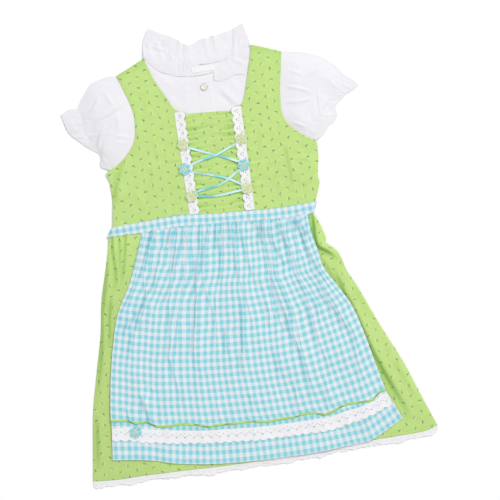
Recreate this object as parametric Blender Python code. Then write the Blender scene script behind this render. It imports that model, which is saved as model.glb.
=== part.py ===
"""A child's dirndl set laid flat, front up: dress, gingham apron and white blouse.

Blender 4.5, metres, +Z up. The set lies on the plane Z = 0 with its length along Y.
Tables are in millimetres, measured from the middle of the waist; MM turns them into
metres. Every cloth piece is a closed wall: a plan filled in between its four edges,
a height for its underside, and the thickness of the wall.
"""
from collections import namedtuple

import bmesh
import bpy
import numpy as np

MM = 0.001

# ---- walls and layers, mm ---------------------------------------------------------------
WALL = 1.2                  # dress cotton
THIN = 1.0                  # blouse cotton, lace and ribbon
APRON_WALL = 1.3
GAP = 0.3                   # between two pieces that touch
LAY = 0.5                   # over a panel whose slope and folds the piece follows
SEAM = 0.5                  # in plan, where two pieces are sewn edge to edge
BLOUSE_STACK = 2 * (THIN + GAP)
BAND_LIFT = WALL + GAP      # how far the waistband at the back lifts what lies on it
FRONT_LEVEL = WALL + GAP    # underside of a front panel that lies on its back panel
BLOUSE_BACK_LEVEL = WALL + GAP
BLOUSE_FRONT_LEVEL = BLOUSE_BACK_LEVEL + THIN + GAP
BODICE_LEVEL = FRONT_LEVEL + BLOUSE_STACK
BODICE_TOP = BODICE_LEVEL + WALL
LACE_LEVEL = BODICE_TOP + LAY
RIBBON_LEVEL = LACE_LEVEL + THIN + GAP

# ---- driving sizes of the trim, mm ------------------------------------------------------
RIBBON_WIDTH = 3.4
RIBBON_SLACK = 0.15         # rise of a run that crosses over nothing
RIBBON_ARCH = THIN + 2 * LAY
FLOWER_RADIUS = 9.3
FLOWER_PETALS = 6
FLOWER_HEIGHT = 2.3
PETAL_DEPTH = 0.12          # of the flower's radius
BUTTON_RADIUS = 5.3
BUTTON_RIM = 0.9
BUTTON_HEIGHT = 2.0
BUTTON_DISH = (0.5, 0.6)    # width and depth of the slope inside the rim
PIPING_DIAMETER = 2.8
SCALLOP_PERIOD = 12.7
SCALLOP_DEPTH = 1.5
BODICE_LACE_WIDTH = 14.5
HEM_LACE_DROP = 9.5
HEM_LACE_WAVE = 1.6         # half height of the short waves of its edge
HEM_LACE_START = 0.8        # radians into the first short wave at the left
HEM_LACE_SWAY = 1.3         # half height of the long waves
HEM_LACE_SWAY_RATE = 0.31   # long waves for each short one
PLACKET_WIDTH = 22.0
LABEL_SIZE = (36.0, 9.0)

# ---- slopes between layers, mm ----------------------------------------------------------
BAND_CLEAR = 8.0            # level stretch beyond the waistband before cloth comes down
BAND_RAMP = 34.0
BLOUSE_RAMP = (18.0, 62.0)  # heights above the waist
SIDE_RAMP = 13.0            # from the side seam inwards
ARM_RAMP = (78.0, 94.0)
PLEAT_RAMP = (1.0, 9.0)     # above the waistband, where the centre pleats rise
FOLD_RAMP = (2.0, 9.0)      # beside the apron, where the skirt's folds rise

# ---- gathers and folds ------------------------------------------------------------------
APRON_GATHERS = 30
APRON_GATHER_HEIGHT = 2.0
APRON_GATHER_FADE = 0.16    # of the apron's length
APRON_FOLDS = 11
APRON_FOLD_HEIGHT = 1.4
APRON_FOLD_START = 0.33     # of the apron's length, where the folds reach their height
APRON_FOLD_DRIFT = (1.7, 5.0)   # uneven spacing of the folds: radians, and rate across
APRON_EDGE_LIFT = 1.4
APRON_EDGE_SHARE = 0.05     # of the apron's width, lifted at each side
APRON_LENGTH = 355.0
CENTRE_PLEATS = 9
CENTRE_PLEAT_HEIGHT = 1.1
SLEEVE_EDGE = 2 * (WALL + GAP)
SLEEVE_SIDE = 0.2           # of the sleeve's width, where its side edges round over
SLEEVE_PUFF = 2.6
SLEEVE_RISE = (0.25, 0.3)   # of its length, where the puff rises and falls
SLEEVE_GATHERS = 6
SLEEVE_GATHER_HEIGHT = 0.5
FRILL_WAVES = 6
FRILL_HEIGHT = 2.4
CUFF_ELASTIC = 0.78         # of the sleeve's length, from the armhole
COLLAR_WAVES = 11
COLLAR_LEFT_WAVES = 6
COLLAR_RIGHT_WAVES = 5
COLLAR_BACK_WAVE = 1.9      # height
COLLAR_FRONT_WAVE = 2.0
COLLAR_FRONT_LEVEL = BLOUSE_FRONT_LEVEL + THIN + GAP + LAY
HEM_LACE_WAVES = 12

# ---- colours ----------------------------------------------------------------------------
LIME = (0.485, 0.716, 0.202)
WHITE = (0.86, 0.85, 0.88)
GINGHAM = (0.42, 0.78, 0.86)
AQUA = (0.30, 0.78, 0.82)
PALE_GREEN = (0.70, 0.78, 0.52)
PIPING_GREEN = (0.30, 0.62, 0.10)
PEARL = (0.82, 0.79, 0.70)

Spot = namedtuple("Spot", "x y")
Fold = namedtuple("Fold", "x0 y0 x1 y1 height width")
Flower = namedtuple("Flower", "name x y on colour")
Ribbon = namedtuple("Ribbon", "name over path")
Strip = namedtuple("Strip", "name outer_x lean top_y bottom_y")
Edging = namedtuple("Edging", "name level phase")


def spots(*pairs):
    """A table of Spot rows."""
    return [Spot(*pair) for pair in pairs]


# ---- waist ------------------------------------------------------------------------------
BAND_TOP = spots((-152, 12.8), (-100, 14.5), (-50, 16.5), (-20, 13.5), (0, 10.5), (50, 8),
                 (85, 5.5), (158.5, 6))
BAND_BOTTOM = spots((-161.5, -1.5), (-110, -2.5), (-50, -2.8), (0, -5.9), (54, -9.1),
                    (79, -12.1), (125, -13.9), (151.5, -10.5))

# ---- dress outline ----------------------------------------------------------------------
ARMHOLE_LEFT = spots((-146.9, 95), (-127.5, 105), (-108.8, 121.3), (-97.5, 140),
                     (-93.5, 167), (-96.3, 189), (-102.5, 210), (-110.5, 236))
ARMHOLE_RIGHT = spots((170.5, 96.5), (156.3, 105), (136.3, 122.5), (126.3, 142.5),
                      (126.9, 165), (130, 190), (133.8, 209), (138.5, 236))
SIDE_LEFT = spots((-153, 3), (-149.6, 15), (-146.5, 36), (-144.5, 56), (-145, 78), (-146.9, 95))
SIDE_RIGHT = spots((152, -2), (156, 7), (166, 33), (165.5, 45), (170, 69), (171.3, 84),
                   (170.5, 96.5))
NECK_LEFT = spots((-25, 168.5), (-33.5, 176), (-41.9, 192.9), (-56.2, 222.6), (-67, 255.5))
NECK_RIGHT = spots((59, 165), (69.5, 169), (78.3, 191.7), (91, 234.5), (95.2, 252.7))
NECK_BACK = spots((-67, 255.5), (-46, 240), (-10, 232), (40, 232), (75, 240), (95.2, 252.7))
SHOULDER_LEFT = spots((-110.5, 236), (-67, 255.5))
SHOULDER_RIGHT = spots((95.2, 252.7), (138.5, 236))
BACK_ARMHOLE_IN = 3.0       # how far the back is cut in at the armhole, under the front
SIDE_ROWS = (0.0, 0.24, 0.5, 0.75, 1.0)
SKIRT_BACK_ROWS = (0.0, 0.2, 0.4, 0.6, 0.75, 0.86, 0.91, 0.95, 0.98, 1.0)
SKIRT_FRONT_ROWS = (0.0, 0.1, 0.2, 0.3, 0.4, 0.5, 0.6, 0.68, 0.75, 0.81, 0.86, 0.91, 0.95,
                    0.98, 1.0)
SEAM_LEFT_X = -25.0         # front panel meets the gathered centre panel under the lace
SEAM_RIGHT_X = 58.5
SEAM_LEFT_Y = (6.0, 168.5)  # lower and upper end
SEAM_RIGHT_Y = (0.5, 165.0)
CENTRE_TOP_Y = (164.0, 158.0)
CENTRE_COLUMNS = (0.0, 0.095, 0.14, 0.3, 0.5, 0.7, 0.86, 0.905, 1.0)
CENTRE_DEPTHS = (0.0, 0.0, 1.0, 0.75, 0.55, 0.75, 1.0, 0.0, 0.0)
WAIST_BACK = spots((0, 3.5), (60, 0.5))

# ---- skirt and apron --------------------------------------------------------------------
SKIRT_LEFT = spots((-235.2, -359.4), (-229.6, -319.6), (-219.4, -255), (-205.5, -198),
                   (-191.3, -142.5), (-182.9, -94.3), (-170.7, -51.4), (-161, -17.5),
                   (-158, 1))
SKIRT_RIGHT = spots((287.5, -352.5), (269.6, -303.5), (250.4, -249.6), (225.9, -194.3),
                    (200, -130), (187.5, -103), (182, -82), (174, -67.5), (162.3, -57),
                    (163.4, -48.8), (156.5, -24.6), (148.5, -9), (148.5, -3.5))
SKIRT_HEM = spots((-235.2, -359.4), (-200, -362.2), (-150, -362.2), (-74, -364.5), (0, -366),
                  (100, -364), (198.5, -359.8), (262, -358.7), (287.5, -352.5))
SKIRT_TOP_BACK = spots((0, 1.0), (60, -2.0))
SKIRT_TOP_FRONT = spots((-108, -0.5), (0, 1.0), (138, -5))
SKIRT_HEM_BREAKS = (0.09, 0.86)     # of the hem's length, where the apron begins and ends
APRON_LEFT = spots((-201.3, -332.2), (-194.4, -264), (-184.1, -200), (-170.7, -144.3),
                   (-159.1, -112.1), (-139.5, -78.6), (-126.4, -48.8), (-108.6, -4))
APRON_RIGHT = spots((237.9, -333.3), (221.5, -297.7), (209, -243.8), (199.6, -199.6),
                    (185.7, -151.4), (155.4, -96), (150, -70), (143.8, -38.9), (142, -14.5))
APRON_HEM = spots((-201.3, -332.2), (-150, -340), (-94.4, -353.9), (-18.5, -363.1),
                  (86.9, -366), (163.8, -362), (188.8, -358.5), (221.5, -342.9),
                  (237.9, -333.3))
APRON_TUCK = spots((-194.3, -274.8), (-168.5, -278), (-142, -285.4), (-120.4, -292.3),
                   (-96.3, -294.2), (-53.7, -302.3), (9.3, -305.9), (52.3, -308),
                   (100, -306.8), (124, -308.8), (152.3, -302.5), (186, -300),
                   (204, -292.5), (218.4, -287.8))
LACE_UPPER = spots((-194.9, -283.5), (-168.5, -286.5), (-131.5, -297.4), (-96.3, -302.5),
                   (-46, -310), (30, -316), (100, -315.6), (144, -314), (178, -308.5),
                   (205, -301.5), (219.5, -294.5))
LACE_LOWER = spots((-196.5, -301), (-170, -303.8), (-131.5, -316), (-96.3, -320),
                   (-46, -327.5), (30, -333.5), (100, -333.8), (144, -332), (180, -325),
                   (208, -317), (225, -309.5))

APRON_ROWS = (0.0, 0.28, 0.52, 0.72, 0.86, 0.945, 1.0)

# ---- blouse -----------------------------------------------------------------------------
BLOUSE_HEM_Y = 66.0
BLOUSE_SIDE_X = (-123.0, 147.0)
BLOUSE_UNDER_STRAP = 2.0    # how far its armhole lies inside the bodice's
BLOUSE_ARM_SHARE = 0.2      # of the armhole's length, where the blouse begins
BLOUSE_SHOULDER_IN = (0.5, 2.0)     # sideways and down from the bodice's shoulder
BLOUSE_NECK_FRONT = spots((-65.5, 254.5), (-50, 236), (-27, 224), (0, 219), (30, 219.5),
                          (55, 228), (78, 242), (94, 251.5))
BLOUSE_NECK_BACK = spots((-65.5, 254.5), (-46, 243), (-10, 236), (40, 236), (75, 243),
                         (94, 251.5))
SLEEVE_LEFT_TOP = spots((-111.3, 236.4), (-127.5, 236.3), (-150, 230.3), (-161.3, 218.8),
                        (-172.5, 203.8), (-177.5, 196.3), (-190, 196.9), (-202.5, 190.6))
SLEEVE_LEFT_CUFF = spots((-166.3, 133.1), (-182.5, 148.8), (-190, 156.3), (-196.3, 166.3),
                         (-200, 178.8), (-202.5, 190.6))
SLEEVE_LEFT_UNDER = spots((-140.5, 99.6), (-147.5, 101.3), (-153.8, 106), (-152.8, 121.3),
                          (-158.3, 128), (-166.3, 133.1))
SLEEVE_RIGHT_TOP = spots((139.3, 236.2), (162.5, 231.9), (187.5, 223.8), (206.3, 211.9),
                         (221.3, 196.9), (227.5, 187.5), (237.5, 180), (245.6, 169.4))
SLEEVE_RIGHT_CUFF = spots((208.8, 131.3), (206.9, 137.5), (208.6, 144), (217.5, 151),
                          (226.3, 158.6), (236.3, 163.1), (245.6, 169.4))
SLEEVE_RIGHT_UNDER = spots((169.6, 98.2), (180, 101.3), (187.5, 107.5), (193.8, 115.6),
                           (201.3, 119.4), (206.3, 125), (208.8, 131.3))
COLLAR_TOP = spots((-57, 298), (-49.2, 298), (-28.7, 286.9), (-19.7, 282), (-3, 268),
                   (8, 267.3), (22.6, 271.8), (43, 275.4), (63.6, 278), (79, 284.6),
                   (87.9, 286.3))
COLLAR_BACK_ENDS = (Spot(-66.2, 277), Spot(91.5, 270))
COLLAR_LEFT_END = spots((-66.4, 270), (-64.4, 282))
COLLAR_LEFT_SEAM = spots((-3, 220.2), (-27, 225.2), (-48, 237), (-59, 248), (-66.3, 258))
COLLAR_LEFT_FREE = spots((-5, 236), (-15, 247), (-25, 260), (-33, 276), (-56.5, 297.5))
COLLAR_RIGHT_SEAM = spots((33.5, 222.5), (44, 228), (55, 235), (63, 246), (68.5, 262),
                          (71, 281))
COLLAR_RIGHT_FREE = spots((33, 207.4), (48.2, 205.5), (71.3, 211.5), (81, 210.5),
                          (89, 232), (92, 262), (88, 285.5))
BUTTON_AT = Spot(16.7, 200.6)
LABEL_AT = Spot(19, 227.8)
PLACKET_AT_X = 17.5
PLACKET_Y = (165.5, 217.0)

# ---- largest folds ----------------------------------------------------------------------
SKIRT_FOLDS = [
    Fold(154, -18, 158, -56, 2.2, 4.5),
    Fold(163, -64, 190, -122, 2.8, 7.0),
    Fold(196, -140, 222, -205, 2.2, 8.0),
    Fold(226, -215, 262, -318, 3.0, 12.0),
    Fold(-154, -24, -178, -108, 2.0, 6.0),
    Fold(-186, -130, -206, -214, 1.8, 7.0),
    Fold(-208, -230, -218, -338, 2.2, 8.0),
]
BODICE_LEFT_FOLDS = [
    Fold(-60, 142, -72, 84, 1.4, 9.0),
    Fold(-128, 84, -112, 30, 1.3, 8.0),
]
BODICE_RIGHT_FOLDS = [
    Fold(150, 84, 104, 70, 1.4, 8.0),
    Fold(140, 48, 92, 40, 1.1, 8.0),
]
SLEEVE_LEFT_FOLDS = [
    Fold(-122, 214, -150, 224, 0.6, 6.0),
    Fold(-118, 196, -166, 178, 0.7, 6.0),
    Fold(-112, 150, -140, 120, 0.6, 7.0),
]
SLEEVE_RIGHT_FOLDS = [
    Fold(150, 214, 196, 196, 0.6, 7.0),
    Fold(140, 186, 200, 176, 0.7, 7.0),
    Fold(146, 140, 174, 130, 0.6, 7.0),
]

FLOWERS = [
    Flower("flower_left_top", -27, 119.5, "bodice", PALE_GREEN),
    Flower("flower_left_middle", -30, 82.5, "bodice", AQUA),
    Flower("flower_left_bottom", -25.5, 41.5, "bodice", PALE_GREEN),
    Flower("flower_right_top", 60.5, 115.5, "bodice", PALE_GREEN),
    Flower("flower_right_middle", 58, 76, "bodice", AQUA),
    Flower("flower_right_bottom", 58, 41, "bodice", PALE_GREEN),
    Flower("flower_apron", -160.5, -295, "apron", AQUA),
]
FLOWER_RINGS = ((0.34, 0.72), (0.74, 1.0), (1.0, 0.45))     # shares of radius and height
BODICE_LACES = [
    Strip("lace_left", -33.0, -0.5, 168.5, 18.0),
    Strip("lace_right", 64.5, 2.5, 164.0, 12.0),
]
HEM_LACES = [
    Edging("hem_lace_back", 0.0, 1.9),
    Edging("hem_lace_front", FRONT_LEVEL, 0.0),
]
RIBBONS = [
    Ribbon("ribbon_1_down", False, spots((-17.6, 112.4), (19, 97), (48.6, 83.8))),
    Ribbon("ribbon_1_up", True, spots((-20, 87.5), (0, 93), (19, 96.5), (49.5, 108.5))),
    Ribbon("ribbon_2_down", False, spots((-18.5, 76.5), (19, 64), (33, 58.5), (48.4, 49.8))),
    Ribbon("ribbon_2_up", True, spots((-16, 46.6), (13.5, 50.5), (33, 58.5), (48.2, 68.6))),
    Ribbon("ribbon_3_across", False, spots((-15.4, 39.8), (13.5, 36), (47.6, 39))),
]


# ---- curves and fields ------------------------------------------------------------------
def smooth(value):
    """Soft step from 0 to 1 while value goes from 0 to 1."""
    held = np.clip(value, 0.0, 1.0)
    return held * held * (3.0 - 2.0 * held)


def ramp(value, ends):
    """Soft step from 0 to 1 while value goes from the first end to the second."""
    return smooth((value - ends[0]) / (ends[1] - ends[0]))


def wave(turn):
    """Soft wave from 0 to 1 and back for each whole turn."""
    return 0.5 - 0.5 * np.cos(2 * np.pi * turn)


def curve(table, count, stations=None):
    """Catmull-Rom curve through a table, in even steps of its length or at given shares."""
    points = np.array(table, dtype=float)
    before = 2.0 * points[0] - points[1]
    after = 2.0 * points[-1] - points[-2]
    padded = np.vstack([before, points, after])
    step = np.linspace(0.0, 1.0, 12, endpoint=False)[:, None]
    spans = []
    for index in range(len(points) - 1):
        p0, p1, p2, p3 = padded[index:index + 4]
        spans.append(0.5 * (2 * p1 + (p2 - p0) * step
                            + (2 * p0 - 5 * p1 + 4 * p2 - p3) * step ** 2
                            + (3 * p1 - p0 - 3 * p2 + p3) * step ** 3))
    dense = np.vstack(spans + [points[-1:]])
    return resample(dense, np.linspace(0.0, 1.0, count + 1) if stations is None else stations)


def length_of(points):
    """Running length along a polyline, from 0 to 1."""
    run = np.concatenate([[0.0], np.cumsum(np.linalg.norm(np.diff(points, axis=0), axis=1))])
    return run / run[-1]


def resample(points, stations):
    """Points of a polyline at the given shares of its length."""
    run = length_of(points)
    return np.column_stack([np.interp(stations, run, points[:, k]) for k in range(2)])


def chain(*parts):
    """Curves joined end to end; a part is (table, count) or (table, count, stations)."""
    runs = [curve(*part) for part in parts]
    return np.vstack([runs[0]] + [run[1:] for run in runs[1:]])


def offset(points, distance):
    """A polyline moved sideways, to the left of its direction when distance is positive."""
    ahead = np.gradient(points, axis=0)
    ahead /= np.linalg.norm(ahead, axis=1, keepdims=True)
    return points + distance * np.column_stack([-ahead[:, 1], ahead[:, 0]])


def y_at(table, x):
    """Height of a left-to-right edge at x."""
    points = np.array(sorted(table), dtype=float)
    return np.interp(x, points[:, 0], points[:, 1])


def x_at(table, y):
    """Place of an up-and-down edge at y."""
    points = np.array(sorted(table, key=lambda spot: spot.y), dtype=float)
    return np.interp(y, points[:, 1], points[:, 0])


def fill(low, high, left, right):
    """Plan grid between four edges: low and high run left to right, left and right run up."""
    across = (0.5 * (length_of(low) + length_of(high)))[None, :, None]
    up = (0.5 * (length_of(left) + length_of(right)))[:, None, None]
    ruled = (1 - up) * low[None] + up * high[None]
    sides = (1 - across) * left[:, None] + across * right[:, None]
    corners = ((1 - up) * ((1 - across) * low[0] + across * low[-1])
               + up * ((1 - across) * high[0] + across * high[-1]))
    return ruled + sides - corners


def relief(plan, folds):
    """Sum of soft ridges; each fades out at both ends."""
    height = np.zeros(plan.shape[:-1])
    for fold in folds:
        start = np.array([fold.x0, fold.y0])
        along = np.array([fold.x1, fold.y1]) - start
        share = ((plan - start) @ along) / (along @ along)
        nearest = start + np.clip(share, 0, 1)[..., None] * along
        distance = np.linalg.norm(plan - nearest, axis=-1)
        height += fold.height * np.exp(-(distance / fold.width) ** 2)
    return height


def waist_lift(plan):
    """How far cloth is lifted where it crosses the waistband at the back."""
    x, y = plan[..., 0], plan[..., 1]
    top, bottom = y_at(BAND_TOP, x), y_at(BAND_BOTTOM, x)
    outside = np.abs(y - (top + bottom) / 2) - (top - bottom) / 2
    return BAND_LIFT * (1 - smooth((outside - BAND_CLEAR) / BAND_RAMP))


def blouse_lift(plan):
    """How far the blouse lifts what lies on it, rising from the waist to its hem."""
    return BLOUSE_STACK * ramp(plan[..., 1], BLOUSE_RAMP)


def bodice_underside(plan, side_table):
    """Front bodice: on the blouse, and down to the back panel at the waist and side."""
    x, y = plan[..., 0], plan[..., 1]
    from_side = np.abs(x - x_at(side_table, np.minimum(y, side_table[-1].y)))
    at_side = smooth(from_side / SIDE_RAMP)
    below_arm = 1 - ramp(y, ARM_RAMP)
    tuck = 1 - below_arm * (1 - at_side)
    return FRONT_LEVEL + waist_lift(plan) + blouse_lift(plan) * tuck


# ---- solids -----------------------------------------------------------------------------
def material(name, colour, roughness=0.85):
    """A plain Principled material, made once for each name."""
    found = bpy.data.materials.get(name)
    if found:
        return found
    made = bpy.data.materials.new(name)
    made.use_nodes = True
    shader = made.node_tree.nodes["Principled BSDF"]
    shader.inputs["Base Color"].default_value = (*colour, 1.0)
    shader.inputs["Roughness"].default_value = roughness
    shader.inputs["Metallic"].default_value = 0.0
    return made


def solid(name, points, faces, colour, roughness=0.85):
    """A named object from millimetre points and faces, its faces turned outwards."""
    mesh = bpy.data.meshes.new(name)
    mesh.from_pydata((np.asarray(points, dtype=float) * MM).tolist(), [], faces)
    work = bmesh.new()
    work.from_mesh(mesh)
    bmesh.ops.recalc_face_normals(work, faces=work.faces)
    work.to_mesh(mesh)
    work.free()
    mesh.shade_smooth()
    mesh.set_sharp_from_angle(angle=0.7)
    mesh.materials.append(material(name, colour, roughness))
    made = bpy.data.objects.new(name, mesh)
    bpy.context.scene.collection.objects.link(made)
    return made


def cloth(name, plan, low, wall, colour):
    """A closed wall of cloth over a plan grid."""
    rows, columns = plan.shape[:2]
    low = np.broadcast_to(low, (rows, columns))
    under = np.dstack([plan, low]).reshape(-1, 3)
    over = np.dstack([plan, low + wall]).reshape(-1, 3)
    index = np.arange(rows * columns).reshape(rows, columns)
    a, b = index[:-1, :-1].ravel(), index[:-1, 1:].ravel()
    c, d = index[1:, 1:].ravel(), index[1:, :-1].ravel()
    top = rows * columns
    faces = [*zip(a + top, b + top, c + top), *zip(a + top, c + top, d + top),
             *zip(a, c, b), *zip(a, d, c)]
    rim = np.concatenate([index[0, :-1], index[:-1, -1], index[-1, :0:-1], index[:0:-1, 0]])
    following = np.roll(rim, -1)
    faces += [*zip(rim, following, following + top, rim + top)]
    return solid(name, np.vstack([under, over]), [tuple(map(int, face)) for face in faces],
                 colour)


def tube(name, plan, crest, wall, below_columns, colour):
    """A flattened cloth tube open at both ends; plan columns run across its width."""
    rows, columns = plan.shape[:2]
    pick = np.linspace(0, columns - 1, below_columns + 1).round().astype(int)
    lower = plan[:, pick]
    inset = inset_columns(plan, wall)
    inner_lower = inset[:, pick]
    outer = np.concatenate([np.dstack([lower, np.zeros(lower.shape[:2])]),
                            np.dstack([plan, crest])[:, ::-1]], axis=1)
    inner = np.concatenate([np.dstack([inner_lower, np.full(lower.shape[:2], wall)]),
                            np.dstack([inset, crest - wall])[:, ::-1]], axis=1)
    around = outer.shape[1]
    index = np.arange(rows * around).reshape(rows, around)
    following = np.roll(index, -1, axis=1)
    shift = rows * around
    quads = []
    for row in range(rows - 1):
        quads += [*zip(index[row], following[row], following[row + 1], index[row + 1])]
        quads += [*zip(index[row + 1] + shift, following[row + 1] + shift,
                       following[row] + shift, index[row] + shift)]
    for row in (0, rows - 1):
        quads += [*zip(index[row], following[row], following[row] + shift, index[row] + shift)]
    points = np.vstack([outer.reshape(-1, 3), inner.reshape(-1, 3)])
    return solid(name, points, [tuple(map(int, quad)) for quad in quads], colour)


def inset_columns(plan, distance):
    """The plan narrowed by a distance at right angles to both side edges."""
    across = np.linspace(0, 1, plan.shape[1])[None, :, None]
    moved = plan.copy()
    for edge, nearby, weight in ((0, 1, 1 - 2 * across), (-1, -2, 2 * across - 1)):
        step = offset(plan[:, edge], distance) - plan[:, edge]
        inward = np.sign(np.sum(step * (plan[:, nearby] - plan[:, edge])))
        moved += inward * step[:, None] * np.clip(weight, 0, 1)
    return moved


# ---- dress ------------------------------------------------------------------------------
def bodice_back():
    """Back bodice, cut in one with both straps."""
    upper = chain((SHOULDER_LEFT, 3), (NECK_BACK, 8), (SHOULDER_RIGHT, 3))
    left = chain((SIDE_LEFT, 4, SIDE_ROWS), (ARMHOLE_LEFT, 6))
    right = chain((SIDE_RIGHT, 4, SIDE_ROWS), (ARMHOLE_RIGHT, 6))
    arm = slice(len(SIDE_ROWS), -1)
    left[arm] += (BACK_ARMHOLE_IN, 0.0)
    right[arm] -= (BACK_ARMHOLE_IN, 0.0)
    waist = curve([left[0], *WAIST_BACK, right[0]], 14)
    plan = fill(waist, upper, left, right)
    return cloth("bodice_back", plan, waist_lift(plan), WALL, LIME)


def bodice_front_left():
    """Left front, from the side seam to the seam under the lace."""
    low_end, high_end = (Spot(SEAM_LEFT_X, y) for y in SEAM_LEFT_Y)
    waist = curve([SIDE_LEFT[0], low_end], 8)
    inner = chain(([low_end, high_end], 9), (NECK_LEFT, 6))
    outer = chain((SIDE_LEFT, 6), (ARMHOLE_LEFT, 9))
    plan = fill(waist, curve(SHOULDER_LEFT, 8), outer, inner)
    low = bodice_underside(plan, SIDE_LEFT) + relief(plan, BODICE_LEFT_FOLDS)
    return cloth("bodice_front_left", plan, low, WALL, LIME)


def bodice_front_right():
    """Right front, from the seam under the lace to the side seam."""
    low_end, high_end = (Spot(SEAM_RIGHT_X + SEAM, y) for y in SEAM_RIGHT_Y)
    waist = curve([low_end, SIDE_RIGHT[0]], 8)
    inner = chain(([low_end, high_end], 9), (NECK_RIGHT, 6))
    outer = chain((SIDE_RIGHT, 6), (ARMHOLE_RIGHT, 9))
    plan = fill(waist, curve(SHOULDER_RIGHT, 8), inner, outer)
    low = bodice_underside(plan, SIDE_RIGHT) + relief(plan, BODICE_RIGHT_FOLDS)
    return cloth("bodice_front_right", plan, low, WALL, LIME)


def bodice_centre():
    """Gathered centre panel; its pleats run across and are deepest beside the lace."""
    rows = 3 * CENTRE_PLEATS
    left_x, right_x = SEAM_LEFT_X + SEAM, SEAM_RIGHT_X - SEAM
    across = np.array(CENTRE_COLUMNS)[None, :, None]
    left = curve([(left_x, SEAM_LEFT_Y[0]), (left_x, CENTRE_TOP_Y[0])], rows)
    right = curve([(right_x, SEAM_RIGHT_Y[0]), (right_x, CENTRE_TOP_Y[1])], rows)
    plan = left[:, None] * (1 - across) + right[:, None] * across
    turn = np.linspace(0, CENTRE_PLEATS, rows + 1)[:, None]
    pleats = CENTRE_PLEAT_HEIGHT * np.array(CENTRE_DEPTHS) * wave(turn)
    pleats = pleats * ramp(plan[..., 1] - y_at(BAND_TOP, plan[..., 0]), PLEAT_RAMP)
    low = FRONT_LEVEL + waist_lift(plan) + blouse_lift(plan) + pleats
    return cloth("bodice_centre", plan, low, WALL, LIME)


def skirt_back():
    """Back skirt panel, flat on the ground."""
    left = curve(SKIRT_LEFT, 9, SKIRT_BACK_ROWS)
    right = curve(SKIRT_RIGHT, 9, SKIRT_BACK_ROWS)
    upper = curve([left[-1], *SKIRT_TOP_BACK, right[-1]], 9)
    plan = fill(curve(SKIRT_HEM, 9), upper, left, right)
    return cloth("skirt_back", plan, waist_lift(plan), WALL, LIME)


def skirt_front():
    """Front skirt panel, with its folds beside the apron."""
    left = curve(SKIRT_LEFT, 14, SKIRT_FRONT_ROWS)
    right = curve(SKIRT_RIGHT, 14, SKIRT_FRONT_ROWS)
    upper = chain(([left[-1], SKIRT_TOP_FRONT[0]], 5), (SKIRT_TOP_FRONT, 7),
                  ([SKIRT_TOP_FRONT[-1], right[-1]], 5))
    first, last = SKIRT_HEM_BREAKS
    hem = curve(SKIRT_HEM, 17, np.concatenate([np.linspace(0, first, 6),
                                               np.linspace(first, last, 8)[1:],
                                               np.linspace(last, 1, 6)[1:]]))
    plan = fill(hem, upper, left, right)
    x, y = plan[..., 0], plan[..., 1]
    beside = np.maximum(x_at(APRON_LEFT, y) - x, x - x_at(APRON_RIGHT, y))
    folds = relief(plan, SKIRT_FOLDS) * ramp(beside, FOLD_RAMP)
    return cloth("skirt_front", plan, FRONT_LEVEL + waist_lift(plan) + folds, WALL, LIME)


def hem_lace(row):
    """Lace below the skirt's hem, with a wavy lower edge."""
    columns = 4 * HEM_LACE_WAVES
    seam = curve(SKIRT_HEM, columns) + (0.0, -SEAM)
    turn = np.linspace(0, 2 * np.pi * HEM_LACE_WAVES, columns + 1)
    drop = (HEM_LACE_DROP + HEM_LACE_WAVE * np.sin(turn + HEM_LACE_START)
            + HEM_LACE_SWAY * np.sin(HEM_LACE_SWAY_RATE * turn + row.phase))
    free = seam - np.column_stack([np.zeros(columns + 1), drop])
    plan = np.stack([free, seam])
    return cloth(row.name, plan, row.level, THIN, WHITE)


# ---- bodice trim ------------------------------------------------------------------------
def bodice_lace(row):
    """Lace strip beside the centre panel, scalloped on its inner edge."""
    side = -1.0 if row.outer_x > 0 else 1.0
    height = row.top_y - row.bottom_y
    scallops = int(round(height / SCALLOP_PERIOD))
    y = np.linspace(row.bottom_y, row.top_y, 3 * scallops + 1)
    straight = row.outer_x + row.lean * (y - row.bottom_y) / height
    bumps = SCALLOP_DEPTH * np.abs(np.sin(np.linspace(0, np.pi * scallops, len(y))))
    scalloped = straight + side * (BODICE_LACE_WIDTH + bumps)
    plan = np.stack([np.column_stack([straight, y]), np.column_stack([scalloped, y])], axis=1)
    low = FRONT_LEVEL + WALL + LAY + waist_lift(plan) + blouse_lift(plan)
    return cloth(row.name, plan, low, THIN, WHITE)


def ribbon(row):
    """One run of the front lacing; a run that crosses over another is arched there."""
    steps = 10
    line = curve(row.path, steps)
    half = RIBBON_WIDTH / 2
    plan = np.stack([offset(line, -half), offset(line, half)], axis=1)
    arch = np.sin(np.pi * np.linspace(0, 1, steps + 1))[:, None]
    rise = (RIBBON_ARCH if row.over else RIBBON_SLACK) * arch
    return cloth(row.name, plan, RIBBON_LEVEL + rise, THIN, AQUA)


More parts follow.
